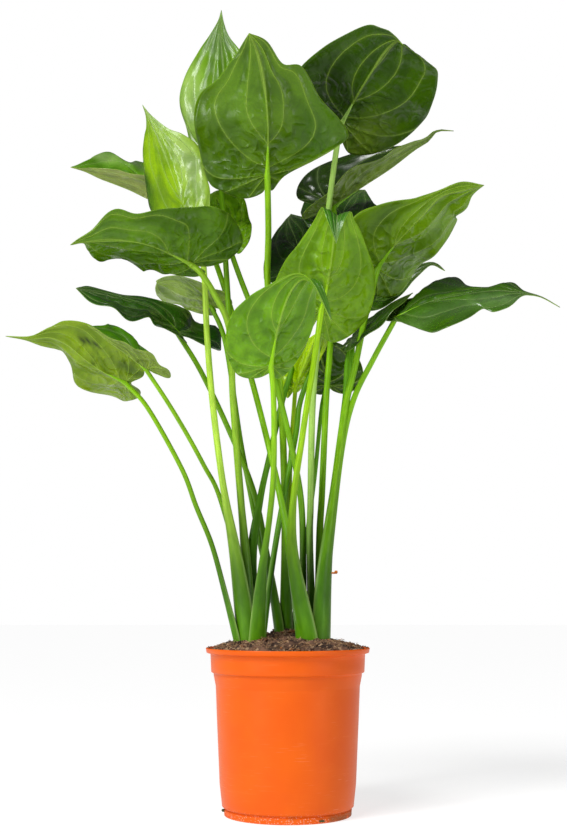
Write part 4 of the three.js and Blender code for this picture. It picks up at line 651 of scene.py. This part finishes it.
def buildBlade(leaf, spine):
    # a grid that fans out from the stalk and the midrib to the margin, made a thin closed sheet
    rows, columns = blade['spokes'] + 1, blade['steps'] + 1
    t = np.linspace(0, 1, rows)
    s = np.linspace(0, 1, columns)[None, :] ** 1.35
    halves = []
    for side in (-1, 1):
        outline = leaf.get('leftEdge' if side < 0 else 'rightEdge')
        if outline is None:
            outline = [(out, along * leaf['lobe'] if along < 0 < out else along)
                       for out, along in halfOutline]
        margin = smoothCurve([edgeEnds[0], *outline, edgeEnds[1]], t)
        out = np.maximum(margin[:, :1], 0)
        along = margin[:, 1:]
        out[[0, -1]] = 0
        leaveFrom = blade['veinsLeaveFrom']
        start = np.clip((t[:, None] - leaveFrom) / (1 - leaveFrom), 0, 1) ** 1.15
        bend = start + 0.35 * (along - start)
        across = side * (1.2 * s * (1 - s) * out + s ** 2 * out)
        height = (1 - s) ** 2 * start + 2 * s * (1 - s) * bend + s ** 2 * along
        points = bladePoints(leaf, spine, across, height)
        toVein = veinField(np.broadcast_to(t[:, None], across.shape), np.broadcast_to(s, across.shape))
        # millimetres between neighbouring veins: one over the slope of the vein number on the surface
        pu, ps = np.gradient(points, axis=0), np.gradient(points, axis=1)
        vu, vs = np.gradient(toVein)
        e, f, g = (pu * pu).sum(-1), (pu * ps).sum(-1), (ps * ps).sum(-1)
        slope = (g * vu ** 2 - 2 * f * vu * vs + e * vs ** 2) / np.maximum(e * g - f * f, 1e-6)
        gap = np.clip(1 / np.sqrt(np.maximum(slope, 1e-6)), 0.4, 40)
        fromRib = np.linalg.norm(points - bladePoints(leaf, spine, across * 0, height), axis=-1)
        fromEdge = np.linalg.norm(points - points[:, -1:], axis=-1)
        fromStalk = np.linalg.norm(points - spine['points'][0], axis=-1)
        halves.append((across, height, points, toVein, gap, fromRib, fromEdge, fromStalk))
    across, height, points, toVein, gap, fromRib, fromEdge, fromStalk = (
        np.concatenate([a.reshape(-1, *a.shape[2:]), b.reshape(-1, *b.shape[2:])]) for a, b in zip(*halves))
    cells = gridTriangles(rows, columns)
    triangles = np.concatenate([cells, cells[:, [0, 2, 1]] + rows * columns])
    # points that fall together on the midrib, at the stalk, in the notch and at the tip become one
    key = np.round(np.stack([across, height], 1) * 4e4).astype(np.int64) + 0
    _, first, same = np.unique(key, axis=0, return_index=True, return_inverse=True)
    same = same.reshape(-1)
    merged = same[triangles]
    whole = (merged != np.roll(merged, 1, axis=1)).all(1)
    triangles, merged = triangles[whole], merged[whole]
    middle = points[first]
    normals = sheetNormals(middle, merged)
    # the leaf tissue swells between the veins
    swell = np.abs(np.sin(np.pi * toVein)) ** 0.9 * np.clip(gap / 16, 0, 1)
    swell *= smoothstep(fromEdge, 0, 9) * smoothstep(fromRib, 0, 7)
    wrinkle = np.sin(2 * np.pi * (fromStalk / 19 + 0.45 * toVein + leaf['phase'])) * np.clip(gap / 12, 0, 1)
    swell = swell * (1 + blade['wrinkling'] * wrinkle)
    middle = middle + normals * (blade['quilting'] * leaf.get('quilting', 1) * swell[first])[:, None]
    depth = (blade['ribDepth'] * (1 - 0.8 * np.clip(height, 0, 1))
             * np.exp(-(fromRib / blade['ribWidth']) ** 2))
    depth *= smoothstep(height, -0.04, 0.02)
    top = middle + normals * blade['thickness'] / 2
    bottom = middle - normals * (blade['thickness'] / 2 + depth[first][:, None])
    count = len(middle)
    edge = np.arange(rows) * columns + columns - 1
    ring = np.concatenate([edge, (edge + rows * columns)[::-1][1:-1]])
    after = np.roll(ring, -1)
    a, b = same[ring], same[after]
    rim = np.concatenate([np.stack([a, a + count, b + count], 1), np.stack([a, b + count, b], 1)])
    rimSource = np.concatenate([np.stack([ring, ring, after], 1), np.stack([ring, after, after], 1)])
    faces = np.concatenate([merged, merged[:, ::-1] + count, rim])
    source = np.concatenate([triangles, triangles[:, ::-1], rimSource]).ravel()
    which = np.concatenate([np.zeros(len(merged)), np.ones(len(merged) + len(rim))])
    corner = {
        'veins': np.stack([toVein, fromStalk / 10], 1)[source],
        'gap': gap[source, None], 'fromRib': fromRib[source, None], 'fromEdge': fromEdge[source, None],
    }
    colours = {}
    for side in ('upper', 'under'):
        tint = np.tile(linear(leaf[side]), (count, 1))
        # soft patches laid on the leaf's green; some are painted sheen and some painted shade
        for x, y, size, hexColour, weight in leaf.get(side + 'Patches', ()):
            far = ((across[first] - x) ** 2 + (height[first] - y) ** 2) / size ** 2
            tint += (np.array(linear(hexColour)) - tint) * (weight * np.exp(-far))[:, None]
        colours[side] = np.tile(tint, (2, 1))
    return makePiece(leaf['name'] + '_blade', np.concatenate([top, bottom]), faces,
                     [upperSide, underSide], leaf['name'], which, corner, colours)


def sheetNormals(points, triangles):
    a, b, c = (points[triangles[:, k]] for k in range(3))
    face = np.cross(b - a, c - a)
    normals = np.zeros_like(points)
    for k in range(3):
        np.add.at(normals, triangles[:, k], face)
    return unit(normals)


stalk = {
    'sides': 20, 'steps': 72, 'sheathThickness': 4.6, 'sheathBow': 0.34, 'plantedDepth': 176,
    # how thick the stalk goes on along the midrib, in shares of its radius
    'tail': (0.72, 0.6, 0.5, 0.38, 0.2),
    # colour, its weight and the heights between which it fades
    'low': ('#316200', 0.95, 240, 460), 'foot': ('#62A008', 0.6, 196, 262), 'margin': ('#C6E08A', 0.5),
}


def buildStalk(leaf, spine):
    # a profile carried up the stalk: across it W cos a, and outward H sin a - B cos^2 a, where the
    # bow B makes a trough of the sheath at the base and fades to a plain round stalk higher up
    points = np.array(leaf['stalk'], float)
    foot = points[0] + 0.1 * (points[0] - points[1])
    foot[2] = stalk['plantedDepth']
    under = [1, 2, 3, 4, 6]
    ribPoints = spine['points'][under] - spine['up'][under] * np.array([1.6, 1.3, 1.0, 0.9, 0.7])[:, None]
    top = spine['points'][0] - spine['up'][0] * leaf['radius'] * 0.8
    t = np.linspace(0, 1, stalk['steps'] + 1)
    centres = smoothCurve(np.vstack([foot, points[:-1], top]), t)
    plain = smoothstep(centres[:, 2], 190, leaf['sheath'][1])
    roundness = leaf['radius'] * (1.25 - 0.25 * t)
    wide = leaf['sheath'][0] / 2 * (1 - plain) + roundness * plain
    deep = stalk['sheathThickness'] / 2 * (1 - plain) + roundness * plain
    bow = stalk['sheathBow'] * leaf['sheath'][0] / 2 * (1 - plain)
    centres = np.vstack([centres, ribPoints])
    tail = leaf['radius'] * np.array(stalk['tail'])
    wide, deep = np.concatenate([wide, tail]), np.concatenate([deep, tail])
    bow = np.concatenate([bow, np.zeros(5)])
    plain = np.concatenate([plain, np.ones(5)])
    tangents = unit(np.gradient(centres, axis=0))
    clump = min(clumps, key=lambda c: math.hypot(points[0][0] - c[0], points[0][1] - c[1]))
    outward = np.array([points[0][0] - clump[0], points[0][1] - clump[1], 0])
    outward = unit(outward) if np.linalg.norm(outward) >= 3 else np.array([0.0, -1.0, 0.0])
    axis = np.cross(tangents[0], outward)
    axes = []
    for tangent in tangents:
        axis = unit(axis - tangent * (axis @ tangent))
        axes.append(axis)
    axes = np.array(axes)
    outwards = np.cross(axes, tangents)
    angle = np.linspace(0, 2 * np.pi, stalk['sides'], endpoint=False)[None, :, None]
    wide, deep, bow = (v[:, None, None] for v in (wide, deep, bow))
    grid = (centres[:, None] + axes[:, None] * wide * np.cos(angle)
            + outwards[:, None] * (deep * np.sin(angle) + bow * (0.5 - np.cos(angle) ** 2)))
    return tubePiece(leaf['name'] + '_stalk', grid, leaf['name'], [stalkSkin],
                     {'skin': stalkTint(leaf, grid, plain, angle)})


def stalkTint(leaf, grid, plain, angle):
    # the leaf's own stalk green, deeper down the sheath and fresher again at its foot, with pale
    # thin margins on it
    tint = np.tile(linear(leaf['stem']), (*grid.shape[:2], 1))
    for hexColour, weight, bottom, top in (stalk['low'], stalk['foot']):
        near = 1 - smoothstep(grid[..., 2], bottom, top)[..., None]
        tint += (np.array(linear(hexColour)) - tint) * weight * near
    hexColour, weight = stalk['margin']
    margin = (np.abs(np.cos(angle)) ** 14) * (1 - plain[:, None, None])
    return (tint + (np.array(linear(hexColour)) - tint) * weight * margin).reshape(-1, 4)


def tubePiece(name, grid, node, materials, colours):
    # a closed tube from a grid of rings, its ends closed on their middles
    rings, sides = grid.shape[:2]
    points = np.vstack([grid.reshape(-1, 3), grid[0].mean(0), grid[-1].mean(0)])
    walls = gridTriangles(rings, sides, closed=True)[:, ::-1]
    k = np.arange(sides)
    after = (k + 1) % sides
    end = rings * sides
    last = end - sides
    caps = np.concatenate([np.stack([np.full(sides, end), after, k], 1)[:, ::-1],
                           np.stack([np.full(sides, end + 1), last + k, last + after], 1)[:, ::-1]])
    faces = np.concatenate([walls, caps])
    along = np.concatenate([[0], np.cumsum(np.linalg.norm(np.diff(grid.mean(1), axis=0), axis=1))])
    turn = np.arange(sides) / sides
    flat = np.stack(np.broadcast_arrays(turn[None, :], along[:, None] / 10), -1).reshape(-1, 2)
    flat = np.vstack([flat, [0.5, 0], [0.5, along[-1] / 10]])
    for key, values in colours.items():
        colours[key] = np.vstack([values, values[:sides].mean(0), values[-sides:].mean(0)])
    corner = {'around': flat[faces].reshape(-1, 2)}
    return makePiece(name, points, faces, materials, node, corner=corner, colours=colours)


for leaf in leaves:
    spine = midribFrames(leaf)
    buildBlade(leaf, spine)
    buildStalk(leaf, spine)
print('leaves ready:', len(leaves))


pot = {
    'sides': 144, 'drains': 6, 'drainSides': 32, 'drainRadius': 6, 'drainCircle': 54, 'floor': 2.4,
    'outside': [
        (73, 0), (73.4, 6.8), (72.4, 7.6), (72.4, 8.8), (75.6, 10), (78.5, 35), (82.2, 112),
        (83.6, 145), (86, 157), (86.2, 160), (89, 161.2), (90, 182), (94.6, 183.4), (95.4, 188.4),
    ],
    'inside': [
        (94.6, 189), (91.6, 188.2), (88.2, 182.4), (87.2, 162.4), (84.2, 158.4), (81.8, 145),
        (79.2, 83), (73.8, 11), (70.8, 9),
    ],
}


def roundedOutline(points, radius=0.5):
    # every corner of the outline becomes three points of a small curve
    points = np.array(points, float)
    before, after = points[:-2], points[2:]
    here = points[1:-1]
    def reach(other):
        far = np.linalg.norm(other - here, axis=1, keepdims=True)
        return here + (other - here) / far * np.minimum(radius, far * 0.4)
    a, b = reach(before), reach(after)
    rounded = np.stack([a, 0.25 * a + 0.5 * here + 0.25 * b, b], 1).reshape(-1, 2)
    return np.vstack([points[:1], rounded, points[-1:]])


def subdivided(points, longest):
    # adds points on the outline's long straight stretches
    parts = [points[:1]]
    for a, b in zip(points[:-1], points[1:]):
        n = max(1, int(np.ceil(np.linalg.norm(b - a) / longest)))
        parts.append(a + (b - a) * (np.arange(1, n + 1) / n)[:, None])
    return np.vstack(parts)


def latheGrid(outline, sides):
    angle = np.linspace(0, 2 * np.pi, sides, endpoint=False)
    radius, height = outline[:, :1], outline[:, 1:]
    return np.stack([radius * np.cos(angle), radius * np.sin(angle), height + 0 * angle], -1)


def lathePiece(name, outline, sides, node, materials, bend=None):
    # an outline from the axis round to the axis again, turned once round: both poles closed
    grid = latheGrid(outline[1:-1], sides)
    if bend is not None:
        grid = bend(grid)
    poles = np.array([[[0, 0, outline[0, 1]]], [[0, 0, outline[-1, 1]]]], float)
    if bend is not None:
        poles = bend(poles)
    points = np.vstack([grid.reshape(-1, 3), poles[0], poles[1]])
    rings = len(grid)
    k = np.arange(sides)
    after = (k + 1) % sides
    end, last = rings * sides, (rings - 1) * sides
    faces = np.concatenate([
        gridTriangles(rings, sides, closed=True)[:, ::-1],
        np.stack([np.full(sides, end), after, k], 1),
        np.stack([np.full(sides, end + 1), last + k, last + after], 1)])
    return makePiece(name, points, faces, materials, node)


def potPlastic():
    # injection-moulded polypropylene, orange right through: satin, a little cloudy, scuffed pale on
    # its edges, with dried splashes of soil on the foot
    material, tree, shader = newMaterial('orange moulded polypropylene')
    place = put(tree, 'TexCoord')['Object']
    up = put(tree, 'SeparateXYZ', {0: place})[2]
    clouds = noise(tree, place, 22, 3)
    skin = noise(tree, place, 900, 2)
    flow = noise(tree, stretched(tree, place, (26, 26, 420)), 1, 3)
    scratches = noise(tree, stretched(tree, place, (40, 40, 900), Rotation=(0.12, 0.3, 0)), 1, 1)
    specks = put(tree, 'TexVoronoi', {'Vector': place, 'Scale': 520})['Distance']
    low = ramp(tree, up, 0.014, 0.004)
    lines = times(tree, ramp(tree, scratches, 0.68, 0.74), ramp(tree, clouds, 0.45, 0.6))
    chalk = times(tree, low, ramp(tree, specks, 0.35, 0.15))
    mud = times(tree, ramp(tree, up, 0.012, 0.002), ramp(tree, clouds, 0.5, 0.62))
    body = mixColour(tree, ramp(tree, clouds, 0.3, 0.7), linear('#DC5700'), linear('#E05D00'))
    for mask, share, colour in ((ramp(tree, flow, 0.62, 0.75), 0.14, '#F58E4A'), (lines, 0.16, '#F7B890'),
                                (chalk, 0.55, '#F3D9C4'), (mud, 0.7, '#7A4A22')):
        body = mixColour(tree, times(tree, mask, share), body, linear(colour))
    height = calc(tree, 'ADD', times(tree, skin, 0.03), times(tree, clouds, 0.3))
    height = calc(tree, 'SUBTRACT', height, times(tree, lines, 0.05))
    rough = calc(tree, 'ADD', ramp(tree, skin, 0.3, 0.7, 0.34, 0.46), times(tree, low, 0.2))
    wire(tree, shader, Base_Color=body, Roughness=rough, Normal=relief(tree, height))
    setShader(shader, IOR=1.49, Specular_IOR_Level=0.22, Subsurface_Weight=0.05,
              Subsurface_Radius=(1.0, 0.4, 0.1), Subsurface_Scale=0.002)
    return material


floorHeight = pot['floor']
profile = [(30, 0), *pot['outside'], *pot['inside'], (pot['inside'][-1][0], floorHeight), (30, floorHeight)]
outline = np.vstack([[(0, 0)], roundedOutline(profile), [(0, floorHeight)]])
potPiece = lathePiece('pot_shell', subdivided(outline, 9), pot['sides'], 'pot', [potPlastic()])
cutters = []
n = pot['drainSides']
for i in range(pot['drains']):
    turn = 2 * math.pi * (i + 0.5) / pot['drains']
    ring = latheGrid(np.array([(pot['drainRadius'], -3), (pot['drainRadius'], 6)]), n)
    ring = ring + np.array([math.cos(turn), math.sin(turn), 0]) * pot['drainCircle']
    mesh = bpy.data.meshes.new('drain')
    k = np.arange(n)
    walls = np.stack([k, (k + 1) % n, (k + 1) % n + n, k + n], 1).tolist()
    mesh.from_pydata((ring.reshape(-1, 3) * mm).tolist(), [], [*walls, k[::-1].tolist(), (k + n).tolist()])
    cutter = bpy.data.objects.new('drain', mesh)
    scene.collection.objects.link(cutter)
    cut = potPiece.modifiers.new('drain', 'BOOLEAN')
    cut.operation = 'DIFFERENCE'
    cut.solver = 'EXACT'
    cut.object = cutter
    cutters.append(cutter)
cutShell = bpy.data.meshes.new_from_object(potPiece.evaluated_get(bpy.context.evaluated_depsgraph_get()))
potPiece.modifiers.clear()
potPiece.data = cutShell
for cutter in cutters:
    bpy.data.objects.remove(cutter)
print('pot ready')


soil = {
    'edge': 187.2, 'rise': 11, 'knoll': (-4, 44, 13, 24), 'lumps': 1.5, 'gap': 0.3,
    'rings': 90, 'sides': 220, 'fibres': 420, 'chips': 150, 'crumbs': 1100, 'spilt': 40,
}


def soilHeight(x, y):
    # highest in the middle, a bell-shaped knoll behind it, and low waves over it all
    out = np.hypot(x, y) / 88
    kx, ky, rise, spread = soil['knoll']
    bell = np.exp(-((x - kx) ** 2 + (y - ky) ** 2) / spread ** 2)
    lumps = np.sin(x * 0.21 + 1) * np.cos(y * 0.24) + 0.6 * np.sin(x * 0.11 - y * 0.37)
    return (soil['edge'] + soil['rise'] * (1 - out ** 3) + rise * bell * (1 - out ** 4)
            + soil['lumps'] * lumps)


waves = chance.normal(size=(46, 2)) * np.geomspace(0.25, 1.5, 46)[:, None]
shifts = chance.uniform(0, 2 * np.pi, 46)


def crumbs(x, y):
    # many small waves of random direction and phase, the shorter the lower
    sizes = 0.62 / (1 + 2.0 * np.linalg.norm(waves, axis=1))
    return (np.sin(x[..., None] * waves[:, 0] + y[..., None] * waves[:, 1] + shifts) * sizes).sum(-1)


def soilBend(grid):
    x, y, z = grid[..., 0], grid[..., 1], grid[..., 2]
    top = z > 500
    fade = 1 - smoothstep(np.hypot(x, y), 86, 90)
    z = np.where(top, soilHeight(x, y) + crumbs(x, y) * fade, z)
    return np.stack([x, y, z], -1)


def pottingMix(name, dark, mid, light):
    # coir and peat: dull crumbs and fibres with dark damp hollows
    material, tree, shader = newMaterial(name)
    place = put(tree, 'TexCoord')['Object']
    crumb = put(tree, 'TexVoronoi', {'Vector': place, 'Scale': 360})['Color']
    pick = put(tree, 'SeparateColor', {0: crumb})[0]
    body = mixColour(tree, ramp(tree, noise(tree, place, 90, 5), 0.35, 0.62), linear(dark), linear(mid))
    body = mixColour(tree, times(tree, ramp(tree, pick, 0.7, 0.95), 0.8), body, linear(light))
    height = calc(tree, 'ADD', times(tree, noise(tree, place, 900, 4), 0.8), times(tree, pick, 0.5))
    wire(tree, shader, Base_Color=body, Normal=relief(tree, height))
    setShader(shader, Roughness=0.95)
    return material


mix = pottingMix('coir and peat potting mix', '#2E1A10', '#745440', '#B08E6C')
radii = np.linspace(0, 90, soil['rings'] + 1)
wall = [(r - soil['gap'], z) for r, z in pot['inside'][2:]]
bottom = pot['floor'] + soil['gap']
outline = np.vstack([
    np.stack([radii, np.full(radii.shape, 1000)], 1),
    subdivided(np.array(wall, float), 12), [(70.5, bottom), (0, bottom)]])
outline = outline[::-1]
lathePiece('soil_bed', outline, soil['sides'], 'soil', [mix], soilBend)


def scatter(name, grids, materials, node='soil'):
    # many small closed shapes in one piece, each a grid of rings
    number, rings, sides = grids.shape[:3]
    points = np.concatenate([grids.reshape(number, -1, 3), grids[:, :1].mean(2), grids[:, -1:].mean(2)], 1)
    k = np.arange(sides)
    after = (k + 1) % sides
    end, last = rings * sides, (rings - 1) * sides
    faces = np.concatenate([
        gridTriangles(rings, sides, closed=True)[:, ::-1],
        np.stack([np.full(sides, end), k, after], 1),
        np.stack([np.full(sides, end + 1), last + after, last + k], 1)])
    faces = (faces[None] + np.arange(number)[:, None, None] * points.shape[1]).reshape(-1, 3)
    return makePiece(name, points.reshape(-1, 3), faces, materials, node)


def fibreGrids(count):
    # thin bent hairs lying on the soil: seven-ring tubes along a bow
    t = np.linspace(-1, 1, 7)[None, :]
    reach = chance.uniform(3, 15, (count, 1))
    turn = chance.uniform(0, 2 * np.pi, (count, 1))
    curl = chance.normal(0, 0.35, (count, 1))
    radius = 86 * np.sqrt(chance.uniform(0.02, 1, (count, 1)))
    angle = chance.uniform(0, 2 * np.pi, (count, 1))
    heading = turn + curl * t
    x = radius * np.cos(angle) + reach * t * np.cos(heading) / 2
    y = radius * np.sin(angle) + reach * t * np.sin(heading) / 2
    far = np.maximum(np.hypot(x, y) / 86.5, 1)
    x, y = x / far, y / far
    z = (soilHeight(x, y) + 0.9 + chance.uniform(0, 1.2, (count, 1)) * (1 - t ** 2)
         + chance.uniform(-2, 3.2, (count, 1)) * t)
    centres = np.stack([x, y, np.maximum(z, soilHeight(x, y) + 0.4)], -1)
    thick = chance.uniform(0.2, 0.6, (count, 1, 1, 1)) * (1.02 - t ** 2)[..., None, None] ** 0.4
    side = np.stack([-np.sin(heading), np.cos(heading), 0 * heading], -1)
    corner = np.array([0, 2.1, 4.2])[None, None, :, None]
    ring = side[:, :, None] * np.cos(corner) + np.array([0, 0, 1.0]) * np.sin(corner)
    return centres[:, :, None] + thick * ring


def bead(reach):
    # three rings of six points between two poles, on a ball of radius 1
    tilt = np.array([-reach, 0, reach])[:, None]
    around = np.linspace(0, 2 * np.pi, 6, endpoint=False)[None, :]
    return np.stack(np.broadcast_arrays(np.cos(tilt) * np.cos(around), np.cos(tilt) * np.sin(around),
                                        np.sin(tilt)), -1)


def chipGrids(count, sizes=(2, 8), flat=0.45, ring=(8, 87), level=None):
    # lumpy flattened beads, each point pushed in or out
    size = chance.uniform(*sizes, (count, 1, 1, 1)) * np.array([1, 0.6, flat])
    size = size * chance.uniform(0.7, 1.3, (count, 1, 1, 3))
    shape = bead(0.75)[None]
    shape = shape * size * chance.uniform(0.75, 1.2, (count, 3, 6, 1)) / 2
    turn = chance.uniform(0, 2 * np.pi, (count, 1, 1))
    x = shape[..., 0] * np.cos(turn) - shape[..., 1] * np.sin(turn)
    y = shape[..., 0] * np.sin(turn) + shape[..., 1] * np.cos(turn)
    radius = np.sqrt(chance.uniform(ring[0] ** 2, ring[1] ** 2, (count, 1, 1)))
    angle = chance.uniform(0, 2 * np.pi, (count, 1, 1))
    cx, cy = radius * np.cos(angle), radius * np.sin(angle)
    z = (soilHeight(cx, cy) if level is None else level) + 0.6 + shape[..., 2]
    return np.stack([x + cx, y + cy, z], -1)


coir = pottingMix('dry coir fibre', '#7A5638', '#B48C62', '#D8B48A')
bark = pottingMix('composted bark', '#40281A', '#7C4C2A', '#B0703C')
scatter('soil_fibres', fibreGrids(soil['fibres']), [coir])
scatter('soil_chips', chipGrids(soil['chips']), [bark])
scatter('soil_crumbs', chipGrids(soil['crumbs'], (1.2, 4.6), 0.8), [mix])
scatter('soil_spilt_on_rim', chipGrids(soil['spilt'], (1.2, 3.2), 0.6, (90, 94.6), 188.9), [mix])

litter = {   # where each lies, its width, depth and height
    'on the foot': [((-73, -10, 6), (6, 5, 4)), ((37, -64, 3), (8, 4, 2.5))],
    'on the stalk': [((54, -16, 275), (8, 2, 3)), ((56, -17, 276), (4, 2, 5))],
}


def lumps(items):
    return np.array([place + bead(0.8) * np.array(size) / 2 for place, size in items])


moss = pottingMix('damp moss and soil', '#1C2410', '#3C4420', '#6A6A3A')
husk = pottingMix('dried leaf husk', '#A04A10', '#D07A2A', '#E2A45A')
scatter('soil_spilt_on_foot', lumps(litter['on the foot']), [moss])
scatter('dried_husk', lumps(litter['on the stalk']), [husk], 'leaf_right_broad')
print('soil ready')
